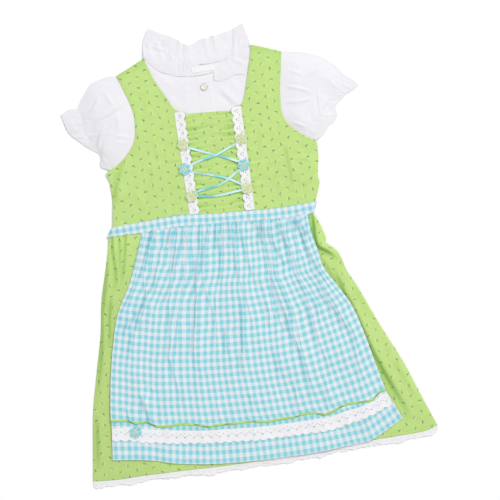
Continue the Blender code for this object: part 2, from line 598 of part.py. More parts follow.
def flower(row, level):
    """Crochet flower: a raised eye and rounded petals on a flat back."""
    around = 3 * FLOWER_PETALS
    angle = np.linspace(0, 2 * np.pi, around, endpoint=False)
    petal = 1 - PETAL_DEPTH + PETAL_DEPTH * np.cos(FLOWER_PETALS * angle)
    points = [(row.x, row.y, level), (row.x, row.y, level + FLOWER_HEIGHT)]
    for share, height in FLOWER_RINGS:
        reach = FLOWER_RADIUS * share * petal
        points += [(row.x + r * np.cos(t), row.y + r * np.sin(t), level + FLOWER_HEIGHT * height)
                   for r, t in zip(reach, angle)]
    points += [(row.x + FLOWER_RADIUS * r * np.cos(t), row.y + FLOWER_RADIUS * r * np.sin(t),
                level) for r, t in zip(petal, angle)]
    faces = []
    for step in range(around):
        ahead = (step + 1) % around
        faces.append((1, 2 + step, 2 + ahead))
        for ring in range(len(FLOWER_RINGS)):
            base = 2 + ring * around
            faces.append((base + step, base + around + step, base + around + ahead, base + ahead))
        base = 2 + len(FLOWER_RINGS) * around
        faces.append((0, base + ahead, base + step))
    return solid(row.name, points, faces, row.colour)


# ---- apron ------------------------------------------------------------------------------
def apron_share(plan):
    """Place across the apron, 0 at its left edge and 1 at its right, at each height."""
    left, right = x_at(APRON_LEFT, plan[..., 1]), x_at(APRON_RIGHT, plan[..., 1])
    return (plan[..., 0] - left) / (right - left)


def apron_low(plan):
    """Underside of the apron: long soft folds, clear of the skirt, lifted at both sides."""
    share = apron_share(plan)
    down = (y_at(BAND_BOTTOM, plan[..., 0]) - plan[..., 1]) / APRON_LENGTH
    amount, rate = APRON_FOLD_DRIFT
    folds = 0.5 + 0.5 * np.sin(2 * np.pi * APRON_FOLDS * share + amount * np.sin(rate * share))
    edge = smooth(1 - np.minimum(share, 1 - share) / APRON_EDGE_SHARE)
    return (FRONT_LEVEL + WALL + LAY + waist_lift(plan) + APRON_EDGE_LIFT * edge
            + APRON_FOLD_HEIGHT * smooth(down / APRON_FOLD_START) * folds)


def apron_gathers(columns, down):
    """Gathers below the band, highest at the band, that fade out down the apron."""
    turn = np.linspace(0, APRON_GATHERS, columns + 1)[None]
    return APRON_GATHER_HEIGHT * np.exp(-down / APRON_GATHER_FADE) * wave(turn)


def apron_side(table, tuck):
    """The part of an apron side edge above its end of the tuck, from that end up."""
    dense = curve(table, 200)
    return resample(np.vstack([tuck, dense[dense[:, 1] > tuck[1]]]), APRON_ROWS)


def apron_panel():
    """Gathered apron from the band down to the tuck."""
    columns = 4 * APRON_GATHERS
    tuck = offset(curve(APRON_TUCK, columns), PIPING_DIAMETER / 2 + SEAM)
    left = apron_side(APRON_LEFT, tuck[0])
    right = apron_side(APRON_RIGHT, tuck[-1])
    band_x = np.linspace(left[-1, 0], right[-1, 0], columns + 1)
    upper = np.column_stack([band_x, y_at(BAND_BOTTOM, band_x) - SEAM])
    left[-1], right[-1] = upper[0], upper[-1]
    plan = fill(tuck, upper, left, right)
    low = apron_low(plan) + apron_gathers(columns, 1 - np.array(APRON_ROWS)[:, None])
    return cloth("apron_panel", plan, low, APRON_WALL, GINGHAM)


def apron_hem_band():
    """Apron below the tuck."""
    columns, rows = 4 * APRON_FOLDS, 3
    tuck = offset(curve(APRON_TUCK, columns), -(PIPING_DIAMETER / 2 + SEAM))
    hem = curve(APRON_HEM, columns)
    left = curve([hem[0], tuck[0]], rows)
    right = curve([hem[-1], tuck[-1]], rows)
    plan = fill(hem, tuck, left, right)
    return cloth("apron_hem_band", plan, apron_low(plan), APRON_WALL, GINGHAM)


def apron_piping():
    """Round piping sewn into the tuck, proud of both panels."""
    steps, sides = 40, 6
    line = curve(APRON_TUCK, steps)
    radius = PIPING_DIAMETER / 2
    middle = apron_low(line) + radius
    across = offset(line, 1.0) - line
    rings = []
    for side in range(sides):
        angle = 2 * np.pi * side / sides
        rings.append(np.column_stack([line + across * radius * np.cos(angle),
                                      middle + radius * np.sin(angle)]))
    points = np.stack(rings, axis=1).reshape(-1, 3)
    faces = []
    for step in range(steps):
        for side in range(sides):
            here, ahead = step * sides, (side + 1) % sides
            faces.append((here + side, here + ahead, here + sides + ahead, here + sides + side))
    faces.append(tuple(range(sides)))
    faces.append(tuple(steps * sides + side for side in range(sides)))
    return solid("apron_piping", points, faces, PIPING_GREEN)


def apron_lace():
    """Lace on the hem band, scalloped on its lower edge."""
    scallops = int(round((LACE_UPPER[-1].x - LACE_UPPER[0].x) / SCALLOP_PERIOD))
    columns = 3 * scallops
    upper = curve(LACE_UPPER, columns)
    bumps = SCALLOP_DEPTH * np.abs(np.sin(np.linspace(0, np.pi * scallops, columns + 1)))
    lower = curve(LACE_LOWER, columns) - np.column_stack([np.zeros(columns + 1), bumps])
    plan = np.stack([lower, upper])
    return cloth("apron_lace", plan, apron_low(plan) + APRON_WALL + LAY, THIN, WHITE)


def apron_waistband():
    """Band round the waist: one flattened loop, front over back."""
    columns = 30
    top = curve(BAND_TOP, columns)
    bottom = curve(BAND_BOTTOM, columns)
    plan = np.stack([bottom, (bottom + top) / 2, top])
    crest = FRONT_LEVEL + BAND_LIFT + WALL + LAY + WALL
    return tube("apron_waistband", plan, np.full((3, columns + 1), crest), WALL, 8, GINGHAM)


# ---- blouse -----------------------------------------------------------------------------
def blouse_plan(neck):
    """Plan of a blouse body panel; its lower part is hidden under the bodice."""
    stations = np.linspace(BLOUSE_ARM_SHARE, 1, 33)
    left_arm = offset(curve(ARMHOLE_LEFT, 32, stations), -BLOUSE_UNDER_STRAP)
    right_arm = offset(curve(ARMHOLE_RIGHT, 32, stations), BLOUSE_UNDER_STRAP)
    rows = np.linspace(0, 1, 10)
    left = resample(np.vstack([[(BLOUSE_SIDE_X[0], BLOUSE_HEM_Y)], left_arm]), rows)
    right = resample(np.vstack([[(BLOUSE_SIDE_X[1], BLOUSE_HEM_Y)], right_arm]), rows)
    sideways, down = BLOUSE_SHOULDER_IN
    left[-1] += (sideways, -down)
    right[-1] -= (sideways, down)
    upper = chain(([left[-1], neck[0]], 3), (neck, 8), ([neck[-1], right[-1]], 3))
    lower = curve([left[0], right[0]], 14)
    return fill(lower, upper, left, right)


def blouse_back():
    """Back blouse panel."""
    return cloth("blouse_back", blouse_plan(BLOUSE_NECK_BACK), BLOUSE_BACK_LEVEL, THIN, WHITE)


def blouse_front():
    """Front blouse panel, seen between the straps."""
    return cloth("blouse_front", blouse_plan(BLOUSE_NECK_FRONT), BLOUSE_FRONT_LEVEL, THIN,
                 WHITE)


def blouse_placket():
    """Button placket down the centre front."""
    half = PLACKET_WIDTH / 2
    low, high = PLACKET_Y
    left = curve([(PLACKET_AT_X - half, low), (PLACKET_AT_X - half, high)], 3)
    right = left + (PLACKET_WIDTH, 0.0)
    plan = np.stack([left, right], axis=1)
    return cloth("blouse_placket", plan, BLOUSE_FRONT_LEVEL + THIN + GAP, THIN, WHITE)


def button():
    """Round button with a raised rim."""
    inside = BUTTON_RADIUS - BUTTON_RIM
    profile = [(BUTTON_RADIUS, 0.0), (BUTTON_RADIUS, BUTTON_HEIGHT), (inside, BUTTON_HEIGHT),
               (inside - BUTTON_DISH[0], BUTTON_HEIGHT - BUTTON_DISH[1])]
    around = 20
    level = BLOUSE_FRONT_LEVEL + 2 * (THIN + GAP)
    angle = np.linspace(0, 2 * np.pi, around, endpoint=False)
    points = [(BUTTON_AT.x + r * np.cos(t), BUTTON_AT.y + r * np.sin(t), level + z)
              for r, z in profile for t in angle]
    faces = []
    for ring in range(len(profile) - 1):
        for step in range(around):
            here, ahead = ring * around + step, ring * around + (step + 1) % around
            faces.append((here, ahead, ahead + around, here + around))
    faces.append(tuple(range(around)))
    faces.append(tuple((len(profile) - 1) * around + step for step in range(around)))
    return solid("button", points, faces, PEARL, 0.3)


def neck_label():
    """Bare woven label inside the back neck."""
    half_x, half_y = LABEL_SIZE[0] / 2, LABEL_SIZE[1] / 2
    x = np.array([LABEL_AT.x - half_x, LABEL_AT.x + half_x])
    y = np.array([LABEL_AT.y - half_y, LABEL_AT.y + half_y])
    plan = np.stack(np.meshgrid(x, y), axis=-1)
    return cloth("neck_label", plan, BLOUSE_BACK_LEVEL + THIN + GAP, THIN, WHITE)


def sleeve(name, armhole, away, upper_edge, cuff, under, folds):
    """Puff sleeve: gathered at the armhole, elastic near the cuff, then a frill."""
    rows, columns = 10, 18
    arm = offset(curve(armhole, 120), away)
    start = int(np.argmin(np.linalg.norm(arm - np.array(under[0]), axis=1)))
    arm = resample(arm[start:], np.linspace(0, 1, columns + 1))
    along_top = curve([tuple(arm[-1])] + list(upper_edge[1:]), rows)
    along_under = curve([tuple(arm[0])] + list(under[1:]), rows)
    edge = curve(cuff, columns)
    plan = fill(arm, edge, along_under, along_top)
    across = np.linspace(0, 1, columns + 1)[None]
    along = np.linspace(0, 1, rows + 1)[:, None]
    side = smooth(np.minimum(across, 1 - across) / SLEEVE_SIDE)
    rise, fall = SLEEVE_RISE
    body = smooth(along / rise) * smooth((CUFF_ELASTIC - along) / fall)
    gathers = SLEEVE_GATHER_HEIGHT * wave(SLEEVE_GATHERS * across)
    frill = FRILL_HEIGHT * ramp(along, (CUFF_ELASTIC, 1.0)) * wave(FRILL_WAVES * across)
    puff = body * (SLEEVE_PUFF + relief(plan, folds))
    crest = SLEEVE_EDGE + side * (puff + (1 - body) * gathers + frill)
    return tube(name, plan, crest, WALL, columns // 2, WHITE)


def collar_waves(columns, waves, height):
    """Ruffle along a collar's free edge."""
    return height * wave(np.linspace(0, waves, columns + 1))


def collar_back():
    """Back collar frill, its inner side up, lying beyond the neckline."""
    columns = 2 * COLLAR_WAVES + 2
    seam = curve(BLOUSE_NECK_BACK, columns) + (0.0, SEAM + GAP)
    free = curve(COLLAR_TOP, columns)
    left = curve([seam[0], COLLAR_BACK_ENDS[0], free[0]], 3)
    right = curve([seam[-1], COLLAR_BACK_ENDS[1], free[-1]], 3)
    plan = fill(seam, free, left, right)
    rise = np.linspace(0, 1, 4)[:, None]
    low = (BLOUSE_BACK_LEVEL * (1 - rise)
           + rise * collar_waves(columns, COLLAR_WAVES, COLLAR_BACK_WAVE))
    return cloth("collar_back", plan, low, THIN, WHITE)


def collar_front_left():
    """Left front collar frill, standing up over the back collar."""
    columns = 3 * COLLAR_LEFT_WAVES
    seam = curve(COLLAR_LEFT_SEAM, columns) + (0.0, SEAM + LAY)
    free = curve(COLLAR_LEFT_FREE, columns)
    start = curve([seam[0], free[0]], 3)
    end = curve([seam[-1], *COLLAR_LEFT_END, free[-1]], 3)
    plan = fill(seam, free, start, end)
    rise = np.linspace(0, 1, 4)[:, None]
    low = COLLAR_FRONT_LEVEL + rise * collar_waves(columns, COLLAR_LEFT_WAVES, COLLAR_FRONT_WAVE)
    return cloth("collar_front_left", plan, low, THIN, WHITE)


def collar_front_right():
    """Right front collar frill, turned out over the blouse."""
    columns = 4 * COLLAR_RIGHT_WAVES
    seam = curve(COLLAR_RIGHT_SEAM, columns)
    free = curve(COLLAR_RIGHT_FREE, columns)
    plan = fill(free, seam, curve([free[0], seam[0]], 3), curve([free[-1], seam[-1]], 3))
    rise = np.linspace(1, 0, 4)[:, None]
    low = COLLAR_FRONT_LEVEL + rise * collar_waves(columns, COLLAR_RIGHT_WAVES, COLLAR_FRONT_WAVE)
    return cloth("collar_front_right", plan, low, THIN, WHITE)


# ---- assembly ---------------------------------------------------------------------------
def clear_scene():
    """Remove whatever the scene holds."""
    for old in list(bpy.data.objects):
        bpy.data.objects.remove(old, do_unlink=True)


def flower_level(row):
    """Height at which a flower lies on its lace."""
    if row.on == "bodice":
        return RIBBON_LEVEL
    return FRONT_LEVEL + WALL + APRON_FOLD_HEIGHT + APRON_WALL + THIN + 3 * LAY


def build():
    """Every piece of the set, from the ground up."""
    pieces = [bodice_back(), skirt_back(), blouse_back(), blouse_front(), skirt_front(),
              bodice_front_left(), bodice_front_right(), bodice_centre(),
              apron_panel(), apron_hem_band(), apron_piping(), apron_lace(),
              apron_waistband(), blouse_placket(), button(), neck_label(), collar_back(),
              collar_front_left(), collar_front_right(),
              sleeve("sleeve_left", ARMHOLE_LEFT, SEAM, SLEEVE_LEFT_TOP, SLEEVE_LEFT_CUFF,
                     SLEEVE_LEFT_UNDER, SLEEVE_LEFT_FOLDS),
              sleeve("sleeve_right", ARMHOLE_RIGHT, -SEAM, SLEEVE_RIGHT_TOP,
                     SLEEVE_RIGHT_CUFF, SLEEVE_RIGHT_UNDER, SLEEVE_RIGHT_FOLDS)]
    pieces += [hem_lace(row) for row in HEM_LACES]
    pieces += [bodice_lace(row) for row in BODICE_LACES]
    pieces += [ribbon(row) for row in RIBBONS]
    pieces += [flower(row, flower_level(row)) for row in FLOWERS]
    return pieces


def centre_on_origin(pieces):
    """Hang the pieces on an empty that brings the middle of the set over the origin."""
    corners = np.array([vertex.co for piece in pieces for vertex in piece.data.vertices])
    middle = (corners.min(axis=0) + corners.max(axis=0)) / 2
    frame = bpy.data.objects.new("set_frame", None)
    bpy.context.scene.collection.objects.link(frame)
    frame.location = (-middle[0], -middle[1], -corners[:, 2].min())
    for piece in pieces:
        piece.parent = frame


def main():
    """Model the whole set."""
    clear_scene()
    centre_on_origin(build())


if __name__ == "__main__":
    main()
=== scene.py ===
"""Looks of a child's dirndl set, laid flat with its front up.

The set is a lime green dress with a laced bodice, a gingham apron and a white blouse with
puff sleeves. Tables are in millimetres from the middle of the waist, with the length along
Y; PLACE and MM bring them into the frame of the solids. Every cloth piece is a thin closed
shell: a plan filled in between its four edges, a height worked out from the place in plan,
and a wall. Patterns follow the cloth through the UV map, which holds its cut size.
"""

import logging
import math
from dataclasses import dataclass
from enum import Enum
from typing import Callable, Sequence

import bpy
import numpy as np
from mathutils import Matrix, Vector


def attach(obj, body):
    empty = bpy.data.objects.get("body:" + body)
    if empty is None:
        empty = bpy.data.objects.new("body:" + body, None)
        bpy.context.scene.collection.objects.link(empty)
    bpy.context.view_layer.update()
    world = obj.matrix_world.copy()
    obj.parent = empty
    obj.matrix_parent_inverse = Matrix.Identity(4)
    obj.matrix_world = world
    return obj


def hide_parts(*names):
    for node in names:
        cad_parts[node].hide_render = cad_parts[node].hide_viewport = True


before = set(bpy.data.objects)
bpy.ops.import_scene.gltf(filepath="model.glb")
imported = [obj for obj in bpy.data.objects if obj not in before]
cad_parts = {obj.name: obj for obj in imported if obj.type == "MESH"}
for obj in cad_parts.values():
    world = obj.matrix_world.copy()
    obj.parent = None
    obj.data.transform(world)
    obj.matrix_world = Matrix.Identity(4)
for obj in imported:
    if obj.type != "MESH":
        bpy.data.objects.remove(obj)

Array = np.ndarray
Points = Sequence[tuple[float, float]]
LOG = logging.getLogger("dirndl")

MM = 0.001
UP = np.array([0.0, 0.0, 1.0])
PLACE = (26.15, -39.6)      # middle of the solids' box, mm from the middle of the waist
UV_MM = 0.01                # UV units for each mm of cloth


# ---- sizes shared by the pieces, mm -------------------------------------------------------
DRESS_WALL = 0.9            # thickness of the dress's cotton
APRON_WALL = 0.8            # of the gingham
THIN_WALL = 0.55            # of the blouse's cotton
GROUND = 0.05               # gap between the set and the floor
BAND_LIFT = 1.5             # how far the waistband at the back lifts what lies on it
BAND_CLEAR = 8.0            # how far beyond the band's edges the lift stays whole
BAND_RAMP = 34.0            # over how much more it dies away
FRONT_LEVEL = 1.5           # underside of a front panel on its back panel
BLOUSE_BACK_LEVEL = 1.5     # undersides of the blouse's panels
BLOUSE_FRONT_LEVEL = 2.8
BLOUSE_STACK = 2.6          # how far the blouse lifts the bodice's fronts
BLOUSE_RAMP = (18.0, 62.0)  # from which y to which y that comes in
APRON_LEVEL = 3.2           # underside of the apron on the skirt
SIDE_RAMP = 13.0            # from a side seam in to where a bodice front lies at full height
ARM_RAMP = (78.0, 94.0)     # from which y to which y a side seam opens to the armhole
BACK_DEPTH = 0.5            # deepest hollow of a back panel
BACK_SHADE = 1.5            # painted shade in such a hollow, for each mm of depth
CHECK = (10.2, 11.5)        # one white and one coloured stripe, across and up the gingham

# ---- outlines, mm -------------------------------------------------------------------------
BAND_TOP = ((-152, 12.8), (-100, 14.5), (-50, 16.5), (-20, 13.5), (0, 10.5), (50, 8), (85, 5.5),
            (158.5, 6))
BAND_BOTTOM = ((-161.5, -1.5), (-110, -2.5), (-50, -2.8), (0, -5.9), (54, -9.1), (79, -12.1),
               (125, -13.9), (151.5, -10.5))
ARMHOLE_LEFT = ((-146.9, 95), (-127.5, 105), (-108.8, 121.3), (-97.5, 140), (-93.5, 167),
                (-96.3, 189), (-102.5, 210), (-110.5, 236))
ARMHOLE_RIGHT = ((170.5, 96.5), (156.3, 105), (136.3, 122.5), (126.3, 142.5), (126.9, 165),
                 (130, 190), (133.8, 209), (138.5, 236))
SIDE_LEFT = ((-153, 3), (-149.6, 15), (-146.5, 36), (-144.5, 56), (-145, 78), (-146.9, 95))
SIDE_RIGHT = ((152, -2), (156, 7), (166, 33), (165.5, 45), (170, 69), (171.3, 84), (170.5, 96.5))
NECK_LEFT = ((-25, 168.5), (-33.5, 176), (-41.9, 192.9), (-56.2, 222.6), (-67, 255.5))
NECK_RIGHT = ((59, 165), (69.5, 169), (78.3, 191.7), (91, 234.5), (95.2, 252.7))
NECK_BACK = ((-67, 255.5), (-46, 240), (-10, 232), (40, 232), (75, 240), (95.2, 252.7))
SHOULDER_LEFT = ((-110.5, 236), (-67, 255.5))
SHOULDER_RIGHT = ((95.2, 252.7), (138.5, 236))
SEAM_LEFT = ((-25, 6), (-25, 168.5))
SEAM_RIGHT = ((59, 0.5), (59, 165))
CENTRE_LEFT = ((-24.6, 6), (-24.6, 164))
CENTRE_RIGHT = ((58.1, 0.5), (58.1, 158))
SKIRT_LEFT = ((-235.2, -359.4), (-229.6, -319.6), (-219.4, -255), (-205.5, -198),
              (-191.3, -142.5), (-182.9, -94.3), (-170.7, -51.4), (-161, -17.5), (-158, 1))
SKIRT_RIGHT = ((287.5, -352.5), (269.6, -303.5), (250.4, -249.6), (225.9, -194.3), (200, -130),
               (187.5, -103), (182, -82), (174, -67.5), (162.3, -57), (163.4, -48.8),
               (156.5, -24.6), (148.5, -9), (148.5, -3.5))
SKIRT_HEM = ((-235.2, -359.4), (-200, -362.2), (-150, -362.2), (-74, -364.5), (0, -366),
             (100, -364), (198.5, -359.8), (262, -358.7), (287.5, -352.5))
SKIRT_TOP = ((-158, 1), (-108, -0.5), (0, 1), (60, -2), (138, -5), (148.5, -3.5))
APRON_LEFT = ((-201.3, -332.2), (-194.4, -264), (-184.1, -200), (-170.7, -144.3),
              (-159.1, -112.1), (-139.5, -78.6), (-126.4, -48.8), (-108.6, -4))
APRON_RIGHT = ((237.9, -333.3), (221.5, -297.7), (209, -243.8), (199.6, -199.6),
               (185.7, -151.4), (155.4, -96), (150, -70), (143.8, -38.9), (142, -14.5))
APRON_HEM = ((-201.3, -332.2), (-150, -340), (-94.4, -353.9), (-18.5, -363.1), (86.9, -366),
             (163.8, -362), (188.8, -358.5), (221.5, -342.9), (237.9, -333.3))
APRON_TUCK = ((-194.5, -274), (-170, -277.5), (-163, -281.5), (-143, -284), (-130, -291),
              (-118, -293.5), (-95, -293.8), (-75, -297), (-62, -300), (-53, -303.5),
              (-35, -303.6), (0, -305), (18, -306), (35, -309), (50, -308.5), (80, -308),
              (87, -306.7), (100, -306), (110, -307.5), (118, -310.5), (125, -311),
              (136, -308.5), (150, -303), (165, -301), (180, -300.5), (190, -301),
              (198, -299), (204, -294), (210, -290), (218.4, -288))
LACE_UPPER = ((-194.9, -285), (-170, -287), (-150, -292), (-120, -298.5), (-60, -308),
              (0, -313), (30, -315.6), (110, -316.5), (130, -316), (150, -311.5),
              (175, -308), (200, -301.5), (208, -296.5), (219.5, -292.5))
LACE_LOWER = ((-197.5, -301.5), (-170, -305.5), (-150, -311), (-100, -320), (-50, -326.5),
              (0, -331), (30, -333), (100, -334), (130, -333.6), (160, -328), (190, -321.5),
              (208, -315), (225, -309.5))
BLOUSE_NECK_FRONT = ((-65.5, 254.5), (-50, 236), (-27, 224), (0, 219), (30, 219.5), (55, 228),
                     (78, 242), (94, 251.5))
BLOUSE_NECK_BACK = ((-65.5, 254.5), (-46, 243), (-10, 236), (40, 236), (75, 243), (94, 251.5))
SLEEVE_LEFT_TOP = ((-111.3, 236.4), (-127.5, 236.3), (-150, 230.3), (-161.3, 218.8),
                   (-172.5, 203.8), (-177.5, 196.3), (-190, 196.9), (-202.5, 190.6))
SLEEVE_LEFT_CUFF = ((-166.3, 133.1), (-182.5, 148.8), (-190, 156.3), (-196.3, 166.3),
                    (-200, 178.8), (-202.5, 190.6))
SLEEVE_LEFT_UNDER = ((-140.5, 99.6), (-147.5, 101.3), (-153.8, 106), (-152.8, 121.3),
                     (-158.3, 128), (-166.3, 133.1))
SLEEVE_RIGHT_TOP = ((139.3, 236.2), (162.5, 231.9), (187.5, 223.8), (206.3, 211.9),
                    (221.3, 196.9), (227.5, 187.5), (237.5, 180), (245.6, 169.4))
SLEEVE_RIGHT_CUFF = ((208.8, 131.3), (206.9, 137.5), (208.6, 144), (217.5, 151),
                     (226.3, 158.6), (236.3, 163.1), (245.6, 169.4))
SLEEVE_RIGHT_UNDER = ((169.6, 98.2), (180, 101.3), (187.5, 107.5), (193.8, 115.6),
                      (201.3, 119.4), (206.3, 125), (208.8, 131.3))
COLLAR_TOP = ((-57, 298), (-49.2, 298), (-28.7, 286.9), (-19.7, 282), (-3, 268), (8, 267.3),
              (22.6, 271.8), (43, 275.4), (63.6, 278), (79, 284.6), (87.9, 286.3))
COLLAR_LEFT_SEAM = ((-3, 220.2), (-27, 225.2), (-48, 237), (-59, 248), (-66.3, 258))
COLLAR_LEFT_FREE = ((-5, 236), (-15, 247), (-25, 260), (-33, 276), (-56.5, 297.5))
COLLAR_RIGHT_SEAM = ((33.5, 222.5), (44, 228), (55, 235), (63, 246), (68.5, 262), (71, 281))
COLLAR_RIGHT_FREE = ((33, 207.4), (48.2, 205.5), (71.3, 211.5), (81, 210.5), (89, 232),
                     (92, 262), (88, 285.5))


# ---- curves and fields --------------------------------------------------------------------
@dataclass(frozen=True)
class Crease:
    """A soft fold from one point to another; a negative height is a trough."""

    x0: float
    y0: float
    x1: float
    y1: float
    height: float
    width: float
    bow: float = 0.0
    root: bool = False      # starts at full height, as beside a seam


@dataclass(frozen=True)
class Fold:
    """A pressed fold down a piece: steep on its left, long on its right, with cloth hidden.

    Its line goes from the first point of its path, which is the highest, to the last.
    """

    path: tuple
    height: float
    bite: float = 0.0       # cloth that the fold hides
    width: float = 6.0      # reach of the right flank
    steep: float = 2.8      # reach of the left flank
    root: bool = False      # starts at full height, as under a band
    pull: float = 26.0      # how far off the cloth on either side is drawn in
    cast: float = 0.0       # how far to the left the light is dimmed beside a tall fold

    def across(self, plan: Array) -> tuple[Array, Array]:
        """Look across the fold's line from each place.

        The distance is (x - line) / sqrt(1 + slope^2) at the same y. The fold comes in over
        a quarter of its length and fades over the last third.

        Args:
            plan: places, any shape by 2.

        Returns:
            Distance to the right of the line, and how much of the fold is left, 1 to 0.
        """
        line = curve(self.path, 60)[::-1]
        y = plan[..., 1]
        slope = np.interp(y, line[:, 1], np.gradient(line[:, 0], line[:, 1]))
        side = (plan[..., 0] - np.interp(y, line[:, 1], line[:, 0])) / np.sqrt(1 + slope ** 2)
        share = (line[-1, 1] - y) / (line[-1, 1] - line[0, 1])
        rise = 1.0 if self.root else smooth(share / 0.25)
        return side, rise * smooth((1 - share) / 0.35)

    def relief(self, plan: Array) -> Array:
        """Height: a steep bell on the left, exp(-side / width) on the right, and a trough.

        Args:
            plan: places, any shape by 2.

        Returns:
            Heights in mm.
        """
        side, fade = self.across(plan)
        left = np.exp(-(np.minimum(side, 0.0) / self.steep) ** 2)
        right = np.exp(-np.maximum(side, 0.0) / self.width)
        trough = np.exp(-((side + 2.0 * self.steep) / (1.8 * self.steep)) ** 2)
        return self.height * fade * (left * right - 0.35 * trough)

    def shade(self, plan: Array) -> Array:
        """How deep a place lies in the crook on the left of the fold, 1 for 5 mm of height.

        Args:
            plan: places, any shape by 2.

        Returns:
            Depths, 0 on open cloth.
        """
        side, fade = self.across(plan)
        crook = np.exp(-((side + 1.1 * self.steep) / (1.15 * self.steep)) ** 2)
        if self.cast:
            left = smooth(-side / 2.0)
            crook = np.maximum(crook, 0.75 * left * np.exp(-(side / self.cast) ** 2))
        return 0.2 * self.height * fade * crook

    def drawn(self, plan: Array) -> Array:
        """How far the cloth's pattern is drawn towards the line, where half the bite goes.

        It is bite / 2 times (1 - distance / pull) squared, with the sign of the side.
        """
        side, fade = self.across(plan)
        near = np.maximum(1 - np.abs(side) / self.pull, 0.0) ** 2
        return 0.5 * self.bite * fade * near * np.clip(side / 0.7, -1, 1)


def smooth(value: Array) -> Array:
    """Soft step from 0 to 1: 3t squared less 2t cubed, held outside 0 to 1."""
    held = np.clip(value, 0.0, 1.0)
    return held * held * (3.0 - 2.0 * held)


def ramp(value: Array, start: float, end: float) -> Array:
    """Soft step from 0 to 1 while value goes from start to end."""
    return smooth((value - start) / (end - start))


def wave(turn: Array) -> Array:
    """Soft wave from 0 to 1 and back for each whole turn."""
    return 0.5 - 0.5 * np.cos(2.0 * np.pi * turn)


def unit(vectors: Array, least: float = 1e-6) -> Array:
    """Vectors along the last axis over their length, which counts as least or more."""
    return vectors / np.maximum(np.linalg.norm(vectors, axis=-1, keepdims=True), least)


def spread(u: Array, v: Array) -> Array:
    """Grid of pairs from a row, or a grid, of u and a column of v."""
    return np.stack(np.broadcast_arrays(u, v), axis=-1)


def reach_of(points: Array) -> float:
    """Whole length of a polyline."""
    return float(np.linalg.norm(np.diff(points, axis=0), axis=1).sum())


def length_of(points: Array) -> Array:
    """Running length along a polyline, from 0 to 1."""
    run = np.concatenate([[0.0], np.cumsum(np.linalg.norm(np.diff(points, axis=0), axis=1))])
    return run / run[-1]


def resample(points: Array, stations: Array) -> Array:
    """Points of a polyline at the given shares of its length.

    Args:
        points: the polyline, one row a point, in any number of dimensions.
        stations: shares of its length from 0 to 1.

    Returns:
        One row for each station.
    """
    run = length_of(points)
    columns = [np.interp(stations, run, points[:, k]) for k in range(points.shape[1])]
    return np.column_stack(columns)


def curve(table: Points, count: int) -> Array:
    """Catmull-Rom curve through a table's points, in even steps of its length.

    Each span is half of 2b + (c - a)t + (2a - 5b + 4c - d)t^2 + (3b - a - 3c + d)t^3 for the
    four points a, b, c and d round it.

    Args:
        table: the points.
        count: how many steps the curve gets.

    Returns:
        count + 1 points.
    """
    points = np.array(table, dtype=float)
    before = 2.0 * points[0] - points[1]
    after = 2.0 * points[-1] - points[-2]
    padded = np.vstack([before, points, after])
    t = np.linspace(0.0, 1.0, 16, endpoint=False)[None, :, None]
    a, b, c, d = (padded[k:len(padded) - 3 + k, None] for k in range(4))
    spans = 0.5 * (2 * b + (c - a) * t + (2 * a - 5 * b + 4 * c - d) * t ** 2
                   + (3 * b - a - 3 * c + d) * t ** 3)
    dense = np.vstack([spans.reshape(-1, points.shape[1]), points[-1:]])
    return resample(dense, np.linspace(0.0, 1.0, count + 1))


def chain(count: int, *tables: Points) -> Array:
    """Curves through several tables joined end to end, in even steps of the whole length."""
    runs = [curve(table, 200) for table in tables]
    joined = np.vstack([runs[0]] + [run[1:] for run in runs[1:]])
    return resample(joined, np.linspace(0.0, 1.0, count + 1))


def offset(points: Array, distance: float) -> Array:
    """A plan polyline moved to the left of its direction by a distance."""
    ahead = unit(np.gradient(points, axis=0))
    return points + distance * np.column_stack([-ahead[:, 1], ahead[:, 0]])


def y_at(table: Points, x: Array) -> Array:
    """Height in plan of a left-to-right edge at x."""
    points = np.array(sorted(table), dtype=float)
    return np.interp(x, points[:, 0], points[:, 1])


def x_at(table: Points, y: Array) -> Array:
    """Place of an up-and-down edge at y."""
    points = np.array(sorted(table, key=lambda point: point[1]), dtype=float)
    return np.interp(y, points[:, 1], points[:, 0])


def fill(low: Array, high: Array, left: Array, right: Array) -> Array:
    """Coons patch: the two ruled fills between opposite edges, less the fill of the corners.

    Args:
        low, high: edges that run left to right, with equal counts.
        left, right: edges that run from low to high, with equal counts.

    Returns:
        A plan grid, rows by columns by 2.
    """
    across = (0.5 * (length_of(low) + length_of(high)))[None, :, None]
    up = (0.5 * (length_of(left) + length_of(right)))[:, None, None]
    ruled = (1 - up) * low[None] + up * high[None]
    sides = (1 - across) * left[:, None] + across * right[:, None]
    corners = ((1 - up) * ((1 - across) * low[0] + across * low[-1])
               + up * ((1 - across) * high[0] + across * high[-1]))
    return ruled + sides - corners


def oblong(spans: tuple, columns: int, rows: int) -> tuple[Array, Array]:
    """Plan grid over a span of x and one of y, and how far each place is from an end.

    Args:
        spans: the lowest and highest x, and the same of y, in mm.
        columns, rows: number of points each way.

    Returns:
        The plan grid, and each place's distance in mm from the nearer end in x.
    """
    plan = np.stack(np.meshgrid(np.linspace(*spans[0], columns), np.linspace(*spans[1], rows)),
                    axis=-1)
    x = plan[..., 0]
    return plan, np.minimum(x - spans[0][0], spans[0][1] - x)


